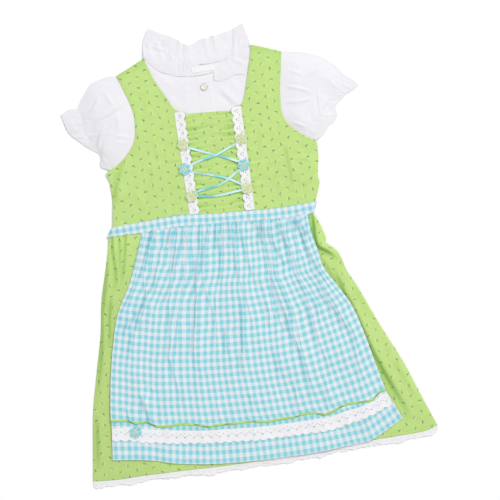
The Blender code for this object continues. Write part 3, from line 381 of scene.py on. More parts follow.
def relief(plan: Array, creases: Sequence[Crease]) -> Array:
    """Sum of creases: across each, a bell of its width less a smaller bell beside it.

    The bell is exp(-s^2), with s the distance from the crease's line over its width, and the
    trough beside it is 0.45 exp(-(s - 1.5)^2). Both fade to nothing at the crease's ends.

    Args:
        plan: places, any shape by 2.
        creases: the folds.

    Returns:
        Heights in mm.
    """
    height = np.zeros(plan.shape[:-1])
    for crease in creases:
        start = np.array([crease.x0, crease.y0])
        along = np.array([crease.x1, crease.y1]) - start
        length = float(np.hypot(*along))
        way = along / length
        share = (plan - start) @ way / length
        side = (plan - start) @ np.array([-way[1], way[0]])
        side = (side - crease.bow * 4 * share * (1 - share)) / crease.width
        rise = smooth((share + 0.02) / 0.02) if crease.root else smooth(share / 0.3)
        fade = rise * smooth((1 - share) / (0.85 if crease.root else 0.35))
        bells = np.exp(-side ** 2) - 0.45 * np.exp(-(side - 1.5) ** 2)
        height += crease.height * fade * bells
    return height


def pressed(plan: Array, folds: Sequence[Fold]) -> Array:
    """Sum of the folds' heights."""
    return sum((fold.relief(plan) for fold in folds), np.zeros(plan.shape[:-1]))


def swell(plan: Array, size: float, seed: int) -> Array:
    """Uneven soft field: the sum of sine waves in mixed directions, about -1 to 1.

    Args:
        plan: places, any shape by 2.
        size: the mean wavelength in mm.
        seed: picks the directions, lengths and phases.

    Returns:
        The field at each place.
    """
    count = 8
    draw = np.random.default_rng(seed)
    angle = draw.uniform(0, math.pi, count)
    length = size * draw.uniform(0.65, 1.6, count)
    phase = draw.uniform(0, 2 * math.pi, count)
    way = np.stack([np.cos(angle), np.sin(angle)]) / length
    return np.sin(2 * np.pi * (plan @ way) + phase).sum(axis=-1) / count * 1.6


def rumple(plan: Array, amount: float, seed: int) -> Array:
    """Creasing of cloth that has been worn and washed: three sizes of swell."""
    return amount * (swell(plan, 62.0, seed) + 0.45 * swell(plan, 24.0, seed + 1)
                     + 0.16 * swell(plan, 9.0, seed + 2))


# ---- meshes -------------------------------------------------------------------------------
def mesh_object(name: str, points: Array, faces: list, uv: Array | None = None,
                material: bpy.types.Material | None = None, crisp: int = 0
                ) -> bpy.types.Object:
    """A smooth-shaded object at the origin from points in mm.

    Args:
        name: the object's name.
        points: one row a point, in mm from the middle of the waist.
        faces: tuples of point numbers, turned outwards.
        uv: one row a point, in mm of cloth.
        material: its finish.
        crisp: how many faces at the end of the list are cut edges, which aren't smoothed
            into the cloth beside them.

    Returns:
        The new object, linked to the scene.
    """
    placed = (points - np.array([PLACE[0], PLACE[1], 0.0])) * MM
    mesh = bpy.data.meshes.new(name)
    mesh.from_pydata(placed.tolist(), [], faces)
    if uv is not None:
        corners = np.empty(len(mesh.loops), dtype=np.int32)
        mesh.loops.foreach_get("vertex_index", corners)
        layer = mesh.uv_layers.new(name="UVMap")
        layer.data.foreach_set("uv", (uv[corners] * UV_MM).ravel())
    mesh.shade_smooth()
    if crisp:
        soft = np.arange(len(mesh.polygons)) < len(mesh.polygons) - crisp
        mesh.polygons.foreach_set("use_smooth", soft)
    if material is not None:
        mesh.materials.append(material)
    made = bpy.data.objects.new(name, mesh)
    bpy.context.scene.collection.objects.link(made)
    return made


def facing_up(*grids: Array) -> list[Array]:
    """Grids with their columns turned round where the first grid's plan runs clockwise.

    Args:
        grids: plan grid first, then any others on the same places.

    Returns:
        The same grids, turned round where needed.
    """
    plan = grids[0]
    rim = np.concatenate([plan[0, :, :2], plan[:, -1, :2], plan[-1, ::-1, :2], plan[::-1, 0, :2]])
    x, y = rim[:, 0], rim[:, 1]
    area = np.sum(x * np.roll(y, -1) - np.roll(x, -1) * y)
    return [grid[:, ::-1] for grid in grids] if area < 0 else list(grids)


def inset(plan: Array, distance: float) -> Array:
    """A plan grid whose outermost points move inwards by a distance.

    Args:
        plan: the plan grid.
        distance: how far, in mm.

    Returns:
        The grid with its rim moved.
    """
    moved = plan.copy()
    for edge, inner in ((0, 1), (-1, -2)):
        for here, nearby in ((moved[edge], plan[inner]), (moved[:, edge], plan[:, inner])):
            here += distance * unit(nearby - here)
    return moved


def lend(piece: bpy.types.Object, name: str, numbers: Array) -> None:
    """Give a piece a number at each of its points, which its finish reads by name."""
    layer = piece.data.attributes.new(name, "FLOAT", "POINT")
    layer.data.foreach_set("value", np.ascontiguousarray(numbers, dtype=np.float32).ravel())


def shell(name: str, plan: Array, top: Array, wall: Array | float,
          material: bpy.types.Material, shade: Array | float = 0.0,
          uv: Array | None = None) -> bpy.types.Object:
    """A closed cloth wall over a plan grid, with a rounded rim.

    The upper face has the whole grid, the under face every second row and column of it, and
    the rim's loop lies at the full outline half way up, with both faces drawn in from it.

    Args:
        name: the object's name.
        plan: rows by columns by 2, with odd counts.
        top: heights of the upper face.
        wall: how far below it the under face lies.
        material: its finish.
        shade: how deep each place lies in a fold, from 0 to 1.
        uv: rows by columns by 2 in mm of cloth; a flat panel's is its plan.

    Returns:
        The new object.
    """
    uv = plan if uv is None else uv
    top, under, shade = (np.broadcast_to(grid, plan.shape[:2])
                         for grid in (top, top - wall, shade))
    plan, top, under, uv, shade = facing_up(plan, top, under, uv, shade)
    rows, columns = plan.shape[:2]
    drawn = inset(plan, 0.3)
    index = np.arange(rows * columns).reshape(rows, columns)
    count = rows * columns
    small = np.arange(((rows + 1) // 2) * ((columns + 1) // 2)) + count
    small = small.reshape((rows + 1) // 2, (columns + 1) // 2)

    def loop(grid: Array) -> Array:
        """The grid's border, counter-clockwise."""
        return np.concatenate([grid[0, :-1], grid[:-1, -1], grid[-1, :0:-1], grid[:0:-1, 0]])

    rim, low = loop(index), loop(small)
    ring = np.arange(len(rim)) + count + small.size
    flat = plan.reshape(-1, 2)
    middle = 0.5 * (top + under).ravel()
    points = np.vstack([np.column_stack([drawn.reshape(-1, 2), top.ravel()]),
                        np.column_stack([drawn[::2, ::2].reshape(-1, 2),
                                         under[::2, ::2].ravel()]),
                        np.column_stack([flat[rim], middle[rim]])])
    maps = np.vstack([uv.reshape(-1, 2), uv[::2, ::2].reshape(-1, 2), uv.reshape(-1, 2)[rim]])

    def quads(grid: Array, flip: bool) -> Array:
        """Faces of a grid of point numbers."""
        a, b, c, d = grid[:-1, :-1], grid[:-1, 1:], grid[1:, 1:], grid[1:, :-1]
        order = (a, d, c, b) if flip else (a, b, c, d)
        return np.stack([corner.ravel() for corner in order], axis=1)

    after = np.roll(ring, -1)
    ahead = np.roll(low, -1)
    faces = np.vstack([quads(index, False), quads(small, True),
                       np.column_stack([ring, after, np.roll(rim, -1), rim]),
                       np.column_stack([low, ahead, np.roll(ring, -2)[::2], after[::2]])])
    thirds = np.column_stack([low, after[::2], ring[::2]])
    piece = mesh_object(name, points, faces.tolist() + thirds.tolist(), maps, material,
                        len(ring) + 2 * len(low))
    if shade.any():
        lend(piece, "shade", np.concatenate([shade.ravel(), shade[::2, ::2].ravel(),
                                             shade.ravel()[rim]]))
    return piece


def pierced(name: str, plan: Array, top: Array, wall: float, uv: Array, kept: Array,
            material: bpy.types.Material) -> bpy.types.Object:
    """A closed lace wall with the grid cells left out where kept is false.

    Each border between a kept cell and a missing one, or the outside, gets a face from the
    under side to the upper one.

    Args:
        name: the object's name.
        plan: rows by columns by 2.
        top: heights of the upper face.
        wall: how far below it the under face lies.
        uv: rows by columns by 2.
        kept: rows - 1 by columns - 1, true where there is thread.
        material: its finish.

    Returns:
        The new object.
    """
    top = np.broadcast_to(top, plan.shape[:2])
    if facing_up(plan)[0][0, 0, 0] != plan[0, 0, 0]:
        plan, top, uv, kept = plan[:, ::-1], top[:, ::-1], uv[:, ::-1], kept[:, ::-1]
    rows, columns = plan.shape[:2]
    index = np.arange(rows * columns).reshape(rows, columns)
    count = rows * columns
    a, b, c, d = index[:-1, :-1], index[:-1, 1:], index[1:, 1:], index[1:, :-1]
    framed = np.pad(kept, 1)
    sides = ((a, b, framed[:-2, 1:-1]), (b, c, framed[1:-1, 2:]),
             (c, d, framed[2:, 1:-1]), (d, a, framed[1:-1, :-2]))
    faces = [np.stack([a[kept], b[kept], c[kept], d[kept]], axis=1),
             np.stack([a[kept], d[kept], c[kept], b[kept]], axis=1) + count]
    for first, second, beyond in sides:
        bare = kept & ~beyond
        p, q = first[bare], second[bare]
        faces.append(np.stack([p + count, q + count, q, p], axis=1))
    points = np.vstack([np.dstack([plan, top]).reshape(-1, 3),
                        np.dstack([plan, top - wall]).reshape(-1, 3)])
    maps = np.vstack([uv.reshape(-1, 2)] * 2)
    joined = np.vstack(faces)
    used, compact = np.unique(joined, return_inverse=True)
    return mesh_object(name, points[used], compact.reshape(joined.shape).tolist(), maps[used],
                       material, len(joined) - 2 * int(kept.sum()))


def tube_wall(name: str, upper: Array, lower: Array, wall: float, uv_upper: Array,
              uv_lower: Array, material: bpy.types.Material) -> bpy.types.Object:
    """A flattened cloth tube, open at both ends, with an inner face one wall inside.

    Args:
        name: the object's name.
        upper, lower: outer surface above and below, rows by columns by 3; the columns of
            both run across the same way and their ends stand over each other.
        wall: the thickness.
        uv_upper, uv_lower: their UV in mm.
        material: its finish.

    Returns:
        The new object.
    """
    outer = np.concatenate([lower, upper[:, ::-1]], axis=1)
    maps = np.concatenate([uv_lower, uv_upper[:, ::-1]], axis=1)
    around_way = np.roll(outer, -1, axis=1) - np.roll(outer, 1, axis=1)
    along_way = np.gradient(outer, axis=0)
    normal = unit(np.cross(around_way, along_way), 1e-9)
    centre = outer.mean(axis=1, keepdims=True)
    if np.sum(normal * (outer - centre)) < 0:
        normal = -normal
    inner = outer - wall * normal
    rows, around = outer.shape[:2]
    index = np.arange(rows * around).reshape(rows, around)
    after = np.roll(index, -1, axis=1)
    shift = rows * around
    walls = [np.stack([index[:-1], after[:-1], after[1:], index[1:]], axis=-1),
             np.stack([index[1:], after[1:], after[:-1], index[:-1]], axis=-1) + shift]
    ends = [np.stack([index[0] + shift, after[0] + shift, after[0], index[0]], axis=-1),
            np.stack([index[-1], after[-1], after[-1] + shift, index[-1] + shift], axis=-1)]
    faces = np.vstack([part.reshape(-1, 4) for part in walls + ends])
    first = outer.reshape(-1, 3)[faces[0]]
    outward = np.cross(first[1] - first[0], first[3] - first[0])
    if outward @ normal.reshape(-1, 3)[faces[0][0]] < 0:
        faces = faces[:, ::-1]
    points = np.vstack([outer.reshape(-1, 3), inner.reshape(-1, 3)])
    return mesh_object(name, points, faces.tolist(), np.vstack([maps.reshape(-1, 2)] * 2),
                       material, 2 * around)


def yarn(path: Array, radius: float | Array, sides: int, closed: bool) -> tuple[Array, Array]:
    """A round cord along a path: a ring of points at right angles to it at each step.

    Args:
        path: steps by 3; a closed path doesn't repeat its first point.
        radius: one for all, or one for each step.
        sides: points in a ring.
        closed: joins the last ring to the first; an open cord gets flat ends.

    Returns:
        Points and quads; the ends of an open cord are quads that close fans of the ring.
    """
    steps = len(path)
    if closed:
        ahead = np.roll(path, -1, axis=0) - np.roll(path, 1, axis=0)
    else:
        ahead = np.gradient(path, axis=0)
    ahead = unit(ahead)
    across = unit(np.cross(ahead, UP))
    up = np.cross(across, ahead)
    angle = np.linspace(0, 2 * np.pi, sides, endpoint=False)[None, :, None]
    reach = np.broadcast_to(np.asarray(radius, dtype=float), (steps,))[:, None, None]
    rings = path[:, None] + reach * (np.cos(angle) * across[:, None] + np.sin(angle) * up[:, None])
    index = np.arange(steps * sides).reshape(steps, sides)
    after = np.roll(index, -1, axis=1)
    ahead_index = np.roll(index, -1, axis=0)
    ahead_after = np.roll(after, -1, axis=0)
    last = steps if closed else steps - 1
    faces = np.stack([index[:last], ahead_index[:last], ahead_after[:last], after[:last]],
                     axis=-1).reshape(-1, 4)
    if not closed:
        half = np.arange(0, sides - 2, 2)
        start = np.stack([np.full_like(half, 0), half + 1, half + 2,
                          (half + 3) % sides], axis=1)
        faces = np.vstack([faces, index[0][start], index[-1][start[:, ::-1]]])
    return rings.reshape(-1, 3), faces


def joined(parts: Sequence[tuple[Array, Array]]) -> tuple[Array, list]:
    """Several meshes as one: points, and faces moved on by the points before them.

    Args:
        parts: points and faces of each mesh.

    Returns:
        All the points, and the faces as lists.
    """
    starts = np.cumsum([0] + [len(points) for points, _ in parts[:-1]])
    points = np.vstack([part[0] for part in parts])
    faces = [face for start, part in zip(starts, parts) for face in (part[1] + start).tolist()]
    return points, faces


def stitches(name: str, runs: Sequence[Array], material: bpy.types.Material,
             pitch: float = 2.6, length: float = 1.9, radius: float = 0.2
             ) -> bpy.types.Object:
    """Rows of sewing stitches: one short rounded bar at each pitch along each run.

    Args:
        name: the object's name.
        runs: seams, each steps by 3 in mm.
        material: the thread.
        pitch, length, radius: of a stitch, in mm.

    Returns:
        The new object.
    """
    middles, ways = [], []
    for run in runs:
        count = max(2, int(reach_of(run) / pitch))
        stations = (np.arange(count) + 0.5) / count
        points = resample(run, stations)
        ahead = resample(run, np.minimum(stations + 0.3 / count, 1.0)) - points
        middles.append(points)
        ways.append(unit(ahead))
    middle, way = np.vstack(middles), np.vstack(ways)
    across = unit(np.cross(way, UP))
    up = np.cross(across, way)
    along = np.array([-0.5, -0.3, 0.3, 0.5]) * length
    reach = np.array([0.25, 1.0, 1.0, 0.25]) * radius
    angle = np.arange(6) * np.pi / 3
    ring = np.array([[a, r * math.cos(t), r * math.sin(t)]
                     for a, r in zip(along, reach) for t in angle])
    frames = np.stack([way, across, up], axis=1)
    points = middle[:, None] + np.einsum("pk,nkd->npd", ring, frames)
    index = np.arange(24).reshape(4, 6)
    after = np.roll(index, -1, axis=1)
    faces = np.stack([index[:-1], index[1:], after[1:], after[:-1]], axis=-1).reshape(-1, 4)
    caps = np.array([[0, 1, 2, 3], [0, 3, 4, 5], [21, 20, 19, 18], [23, 22, 21, 18]])
    faces = np.vstack([faces, caps])
    starts = np.arange(len(middle))[:, None, None] * len(ring)
    return mesh_object(name, points.reshape(-1, 3), (faces[None] + starts).reshape(-1, 4).tolist(),
                       None, material)


def raised_line(points: Array, top: Callable[[Array], Array], above: float) -> Array:
    """A plan polyline in even steps, lifted to a piece's upper face and a little above it."""
    return np.column_stack([points, top(points) + above])


# ---- shader maths -------------------------------------------------------------------------
class Value:
    """A number on a shader socket; arithmetic on it adds Math nodes."""

    def __init__(self, graph: "Graph", socket: bpy.types.NodeSocket) -> None:
        """Keep the socket and the graph that it is on."""
        self.graph = graph
        self.socket = socket

    def __add__(self, other: "Value | float") -> "Value":
        """Sum."""
        return self.graph.maths("ADD", self, other)

    __radd__ = __add__

    def __sub__(self, other: "Value | float") -> "Value":
        """Difference."""
        return self.graph.maths("SUBTRACT", self, other)

    def __rsub__(self, other: "Value | float") -> "Value":
        """Difference from a number."""
        return self.graph.maths("SUBTRACT", other, self)

    def __mul__(self, other: "Value | float") -> "Value":
        """Product."""
        return self.graph.maths("MULTIPLY", self, other)

    __rmul__ = __mul__

    def __truediv__(self, other: "Value | float") -> "Value":
        """Quotient."""
        return self.graph.maths("DIVIDE", self, other)


class Graph:
    """A material's node tree, built from expressions."""

    def __init__(self, name: str) -> None:
        """Start a material with nothing but its output.

        Args:
            name: the material's name.
        """
        self.material = bpy.data.materials.new(name)
        self.material.use_nodes = True
        self.tree = self.material.node_tree
        self.tree.nodes.clear()

    def node(self, kind: str, settings: dict | None = None, inputs: dict | None = None
             ) -> bpy.types.Node:
        """Add a node.

        Args:
            kind: the node's type.
            settings: attributes, set first.
            inputs: values or links of its sockets, by name or number.

        Returns:
            The node.
        """
        made = self.tree.nodes.new(kind)
        for key, value in (settings or {}).items():
            setattr(made, key, value)
        for key, value in (inputs or {}).items():
            socket = made.inputs[key]
            if isinstance(value, Value):
                self.tree.links.new(value.socket, socket)
            elif isinstance(value, bpy.types.NodeSocket):
                self.tree.links.new(value, socket)
            else:
                socket.default_value = value
        return made

    def maths(self, operation: str, *values: "Value | float") -> Value:
        """A Math node on numbers or sockets."""
        made = self.node("ShaderNodeMath", {"operation": operation}, dict(enumerate(values)))
        return Value(self, made.outputs[0])

    def step(self, value: Value, start: float, end: float) -> Value:
        """Soft step from 0 at start to 1 at end."""
        made = self.node("ShaderNodeMapRange", {"interpolation_type": "SMOOTHSTEP"},
                         {"Value": value, "From Min": start, "From Max": end})
        return Value(self, made.outputs[0])

    def cloth_place(self) -> tuple[Value, Value]:
        """Place on the cut cloth in mm, from the UV map."""
        uv = self.node("ShaderNodeUVMap", {"uv_map": "UVMap"})
        parts = self.node("ShaderNodeSeparateXYZ", None, {0: uv.outputs[0]})
        return (Value(self, parts.outputs[0]) / UV_MM, Value(self, parts.outputs[1]) / UV_MM)

    def lent(self, name: str) -> Value:
        """The number that a piece's points hold under a name, 0 where there is none."""
        made = self.node("ShaderNodeAttribute", {"attribute_name": name})
        return Value(self, made.outputs["Fac"])

    def object_place(self) -> bpy.types.NodeSocket:
        """Place in the object's own coordinates, in metres."""
        return self.node("ShaderNodeTexCoord").outputs["Object"]

    def vector(self, x: "Value | float", y: "Value | float", z: "Value | float" = 0.0
               ) -> bpy.types.NodeSocket:
        """A vector from three numbers."""
        return self.node("ShaderNodeCombineXYZ", None, {0: x, 1: y, 2: z}).outputs[0]

    def noise(self, place: bpy.types.NodeSocket, scale: float, detail: float = 2.0) -> Value:
        """Fractal noise from 0 to 1."""
        made = self.node("ShaderNodeTexNoise", None,
                         {"Vector": place, "Scale": scale, "Detail": detail})
        return Value(self, made.outputs[0])

    def chance(self, place: bpy.types.NodeSocket) -> Value:
        """One random number for each whole place."""
        made = self.node("ShaderNodeTexWhiteNoise", {"noise_dimensions": "3D"}, {0: place})
        return Value(self, made.outputs["Value"])

    def mix(self, share: "Value | float", first: object, second: object
            ) -> bpy.types.NodeSocket:
        """Two colours mixed."""
        made = self.node("ShaderNodeMix", {"data_type": "RGBA"},
                         {0: share, 6: colour(first), 7: colour(second)})
        return made.outputs[2]

    def multiplied(self, share: Value, base: object, tint: tuple) -> bpy.types.NodeSocket:
        """A colour times a tint, by a share."""
        made = self.node("ShaderNodeMix", {"data_type": "RGBA", "blend_type": "MULTIPLY"},
                         {0: share, 6: colour(base), 7: colour(tint)})
        return made.outputs[2]

    def tinted(self, base: object, amount: Value) -> bpy.types.NodeSocket:
        """A colour made lighter or darker by a number near 1.

        Args:
            base: colour or socket.
            amount: what each channel is multiplied by.

        Returns:
            The tinted colour's socket.
        """
        made = self.node("ShaderNodeVectorMath", {"operation": "SCALE"})
        if isinstance(base, bpy.types.NodeSocket):
            self.tree.links.new(base, made.inputs[0])
        else:
            made.inputs[0].default_value = base[:3]
        self.tree.links.new(amount.socket, made.inputs["Scale"])
        return made.outputs[0]

    def weave(self, u: Value, v: Value, pitch: float) -> Value:
        """Plain weave: the product of two sines, up over warp and down over weft."""
        warp = self.maths("SINE", u * (math.pi / pitch))
        weft = self.maths("SINE", v * (math.pi / pitch))
        return warp * weft

    def finish(self, inputs: dict, height: Value | None = None, depth: float = 0.1
               ) -> bpy.types.Material:
        """Close the tree with a Principled shader.

        Args:
            inputs: its sockets.
            height: relief for the Bump node, in mm of the depth.
            depth: mm for a height of 1.

        Returns:
            The material.
        """
        shader = self.node("ShaderNodeBsdfPrincipled", None, inputs)
        if height is not None:
            bump = self.node("ShaderNodeBump", None,
                             {"Strength": 1.0, "Distance": depth * MM, "Height": height})
            self.tree.links.new(bump.outputs[0], shader.inputs["Normal"])
        self.node("ShaderNodeOutputMaterial", None, {0: shader.outputs[0]})
        return self.material

    def cloth(self, tone: bpy.types.NodeSocket, roughness: float, height: Value, depth: float,
              sheen: float = 0.12, fuzz: float = 0.5, shine: float = 0.28
              ) -> bpy.types.Material:
        """Close the tree as a fabric: fuzz is its sheen's roughness, and shine is specular."""
        return self.finish({"Base Color": tone, "Roughness": roughness, "Sheen Weight": sheen,
                            "Sheen Roughness": fuzz, "Specular IOR Level": shine}, height, depth)


def colour(value: object) -> object:
    """A colour tuple with its alpha, or the socket that it came as."""
    return value if isinstance(value, bpy.types.NodeSocket) else (*value[:3], 1.0)


# ---- finishes -----------------------------------------------------------------------------
@dataclass(frozen=True)
class SprigCotton:
    """Plain-woven cotton printed with small two-leaved sprigs in a staggered repeat."""

    name: str = "lime_sprig_cotton"
    ground: tuple = (0.522, 0.722, 0.232)
    leaf_dark: tuple = (0.155, 0.265, 0.085)
    leaf_mid: tuple = (0.270, 0.410, 0.190)
    fleck: tuple = (0.660, 0.815, 0.480)
    crook: tuple = (0.26, 0.58, 0.08)       # tint of light that has bounced in a fold
    depth: float = 0.5                      # share of the tint in the deepest fold
    column_pitch: float = 12.4
    row_pitch: float = 16.4
    stagger: float = 8.6                    # how much lower every other column starts
    thread: float = 0.42
    #: of each printed mark: place x and y, angle, half length, half width, in mm; in turn the
    #: large leaf, the small leaf, the stem, the berry, the halo and the pale fleck
    marks: tuple = ((0.75, 0.95, 52.0, 2.05, 0.98), (-1.25, 0.35, 128.0, 1.85, 0.90),
                    (-0.35, -1.55, 70.0, 1.75, 0.48), (1.65, -1.05, 0.0, 0.75, 0.66),
                    (1.9, -0.35, 60.0, 2.9, 1.5), (-2.2, 1.6, 40.0, 1.3, 0.8))

    def mark(self, graph: Graph, x: Value, y: Value, row: tuple) -> Value:
        """An oval: 1 inside and 0 outside, with a soft edge of the ink's spread.

        Args:
            graph: the tree it is drawn in.
            x, y: place in the cell, in mm.
            row: one row of marks.

        Returns:
            The mark's mask.
        """
        middle_x, middle_y, turn, half_length, half_width = row
        cos, sin = math.cos(math.radians(turn)), math.sin(math.radians(turn))
        along = ((x - middle_x) * cos + (y - middle_y) * sin) / half_length
        across = ((y - middle_y) * cos - (x - middle_x) * sin) / half_width
        return 1 - graph.step(along * along + across * across, 0.65, 1.35)

    def material(self) -> bpy.types.Material:
        """Sprigs in cells of a lattice, each cell turned its own way, over a woven ground.

        Returns:
            The material, ready for a piece.
        """
        graph = Graph(self.name)
        u, v = graph.cloth_place()
        column = graph.maths("FLOOR", u / self.column_pitch)
        odd = graph.maths("FLOORED_MODULO", column, 2.0)
        lifted = v + odd * self.stagger
        row = graph.maths("FLOOR", lifted / self.row_pitch)
        cell = graph.vector(column, row, 3.7)
        chance = graph.chance(cell)
        x = u - (column + 0.5) * self.column_pitch
        y = lifted - (row + 0.5) * self.row_pitch
        x = x * (1 - 2 * odd) + (chance - 0.5) * 1.2
        angle = (chance - 0.5) * 1.7
        cos, sin = graph.maths("COSINE", angle), graph.maths("SINE", angle)
        x, y = x * cos - y * sin, x * sin + y * cos
        big, small, stem, berry, halo, fleck = (self.mark(graph, x, y, oval)
                                                for oval in self.marks)
        inked = 0.45 + graph.chance(graph.vector(column, row, 9.1)) * 0.42
        place = graph.object_place()
        cloudy, patchy = graph.noise(place, 14.0, 3.0), graph.noise(place, 95.0, 3.0)
        fibre = graph.noise(graph.vector(u * 0.35, v * 2.4), 1.0, 2.0)
        weave = graph.weave(u, v, self.thread)
        speck = graph.noise(place, 480.0, 3.0)
        # painted shade: the ground is darker below the waist, and more so on the skirt's left,
        # where its folds lie in shade
        painted_shade_tone = graph.step(0.0 - v, 6.0, 90.0) * (0.02 + graph.step(0.0 - u, 105.0, 160.0) * 0.055)
        ground = graph.tinted(self.ground, 0.795 + cloudy * 0.09 + patchy * 0.12 + speck * 0.17
                              + fibre * 0.03 + weave * 0.018 - painted_shade_tone)
        ink = graph.mix(halo * 0.26, ground, self.fleck)
        ink = graph.mix(graph.maths("MAXIMUM", fleck, berry) * 0.42, ink, self.fleck)
        ink = graph.mix(graph.maths("MAXIMUM", small, stem) * inked, ink, self.leaf_mid)
        ink = graph.mix(big * inked, ink, self.leaf_dark)
        # painted shade: each piece's shade numbers darken and tint the print towards crook in its
        # folds
        ink = graph.multiplied(graph.lent("shade") * self.depth, ink, self.crook)
        height = weave * 0.5 + fibre * 0.6 + graph.noise(place, 260.0, 2.0) * 0.9
        return graph.cloth(ink, 0.86, height, 0.09)


@dataclass(frozen=True)
class Gingham:
    """Turquoise and white check: a thread takes its colour from its own stripe."""

    name: str = "turquoise_gingham"
    tint: tuple = (0.235, 0.650, 0.730)
    white: tuple = (0.785, 0.810, 0.855)
    crook: tuple = (0.62, 0.80, 0.88)       # tint of light that has bounced in a fold
    depth: float = 0.6                      # share of the tint in the deepest fold
    check: tuple = CHECK
    thread: float = 0.40

    def stripe(self, graph: Graph, place: Value, check: float) -> Value:
        """1 on a coloured stripe and 0 on a white one, with a soft edge."""
        turn = graph.maths("FLOORED_MODULO", place, check) / check
        near = graph.maths("ABSOLUTE", turn - 0.5)
        return 1 - graph.step(near, 0.225, 0.285)

    def material(self) -> bpy.types.Material:
        """Warp and weft stripes; the thread that lies on top shows more than the other.

        Returns:
            The material, ready for a piece.
        """
        graph = Graph(self.name)
        u, v = graph.cloth_place()
        wander = graph.noise(graph.vector(u, v), 0.03, 3.0) - 0.5
        stagger = graph.noise(graph.vector(v, u), 0.04, 3.0) - 0.5
        warp = self.stripe(graph, u + wander * 2.8, self.check[0])
        weft = self.stripe(graph, v + stagger * 1.7, self.check[1])
        weave = graph.weave(u, v, self.thread)
        over = graph.step(weave, -0.5, 0.5)
        thread = warp * over + weft * (1 - over)
        share = thread * 0.42 + (warp + weft) * 0.29
        place = graph.object_place()
        cloudy, patchy = graph.noise(place, 16.0, 3.0), graph.noise(place, 210.0, 3.0)
        fibre = graph.noise(graph.vector(u * 0.4, v * 2.6), 1.0, 2.0)
        painted_shade_tone = graph.tinted(graph.mix(share, self.white, self.tint),
                            0.895 + cloudy * 0.06 + patchy * 0.11 + fibre * 0.04)
        # painted shade: each piece's shade numbers darken and tint the check towards crook in its
        # folds
        painted_shade_tone = graph.multiplied(graph.lent("shade") * self.depth, painted_shade_tone, self.crook)
        height = weave * 0.6 + fibre * 0.6 + graph.noise(place, 240.0, 2.0) * 0.7
        return graph.cloth(painted_shade_tone, 0.84, height, 0.09, sheen=0.10)


@dataclass(frozen=True)
class WhiteCotton:
    """Thin white cotton with a fine crinkle along its threads."""

    name: str = "white_batiste"
    tone: tuple = (0.825, 0.812, 0.848)
    thread: float = 0.34
    crinkle: float = 0.5

    def material(self) -> bpy.types.Material:
        """White, a little greyer where the crinkle dips, as painted shade.

        Returns:
            The material, ready for a piece.
        """
        graph = Graph(self.name)
        u, v = graph.cloth_place()
        place = graph.object_place()
        weave = graph.weave(u, v, self.thread)
        crinkle = graph.noise(graph.vector(u * 0.05, v * 0.22), 1.0, 4.0)
        soft = graph.noise(place, 30.0, 3.0)
        fibre = graph.noise(graph.vector(u * 0.5, v * 2.6), 1.0, 2.0)
        # painted shade: greyer where the crinkle's bump dips
        tone = graph.tinted(self.tone, 0.955 + soft * 0.04 + crinkle * 0.04 + weave * 0.01)
        height = (weave * 0.35 + fibre * 0.4 + crinkle * (6.0 * self.crinkle)
                  + graph.noise(place, 120.0, 3.0) * 2.0)
        return graph.cloth(tone, 0.82, height, 0.1, shine=0.3)


@dataclass(frozen=True)
class LaceThread:
    """White embroidered cotton: satin stitches that run up and down the strip."""

    name: str = "white_eyelet_lace"
    tone: tuple = (0.880, 0.868, 0.890)
    thread: float = 0.55

    def material(self) -> bpy.types.Material:
        """Rows of stitch ridges, broken by the ground's mesh.

        Returns:
            The material, ready for a piece.
        """
        graph = Graph(self.name)
        u, v = graph.cloth_place()
        place = graph.object_place()
        turn = u * (2 * math.pi / self.thread) + graph.noise(place, 300.0) * 3.0
        stitch = graph.maths("SINE", turn)
        mesh = graph.weave(u, v, 0.7)
        tone = graph.tinted(self.tone, 0.95 + graph.noise(place, 60.0) * 0.06 + stitch * 0.012)
        height = stitch * 0.9 + mesh * 0.7 + graph.noise(place, 500.0) * 0.7
        return graph.cloth(tone, 0.74, height, 0.03, sheen=0.15, fuzz=0.4, shine=0.35)


@dataclass(frozen=True)
class Satin:
    """Aqua satin ribbon: smooth, with fine ribs along it and woven edges."""

    name: str = "aqua_satin"
    # tone is a painted highlight: the pale of the satin's sheen; deep is the ribbon's own colour
    tone: tuple = (0.620, 0.880, 0.900)
    deep: tuple = (0.135, 0.630, 0.730)
    width: float = 3.4
    pitch: float = 0.22     # from float to float

    def material(self) -> bpy.types.Material:
        """Floats across the ribbon, denser edges, and a painted highlight: pale where each
        ribbon's table puts its sheen, the deep tone elsewhere.

        Returns:
            The material, ready for a piece.
        """
        graph = Graph(self.name)
        u, v = graph.cloth_place()
        edge = graph.step(graph.maths("ABSOLUTE", u - self.width / 2), self.width * 0.38,
                          self.width * 0.46)
        floats = graph.maths("SINE", v * (2 * math.pi / self.pitch))
        streak = graph.noise(graph.vector(u * 2.0, v * 0.1), 1.0, 3.0)
        # painted highlight: the number each point holds sets how far the tone goes from the pale
        # sheen to the deep colour
        painted_sheen_depth = graph.lent("painted_sheen_depth")
        tone = graph.mix(painted_sheen_depth * 0.85 + streak * 0.2 + edge * 0.15 - 0.08, self.tone, self.deep)
        height = floats * 0.25 + edge * 1.2 + streak * 0.8
        return graph.finish({"Base Color": tone, "Roughness": 0.30 + streak * 0.12,
                             "Specular IOR Level": 0.6, "Sheen Weight": 0.2,
                             "Anisotropic": 0.5}, height, 0.05)


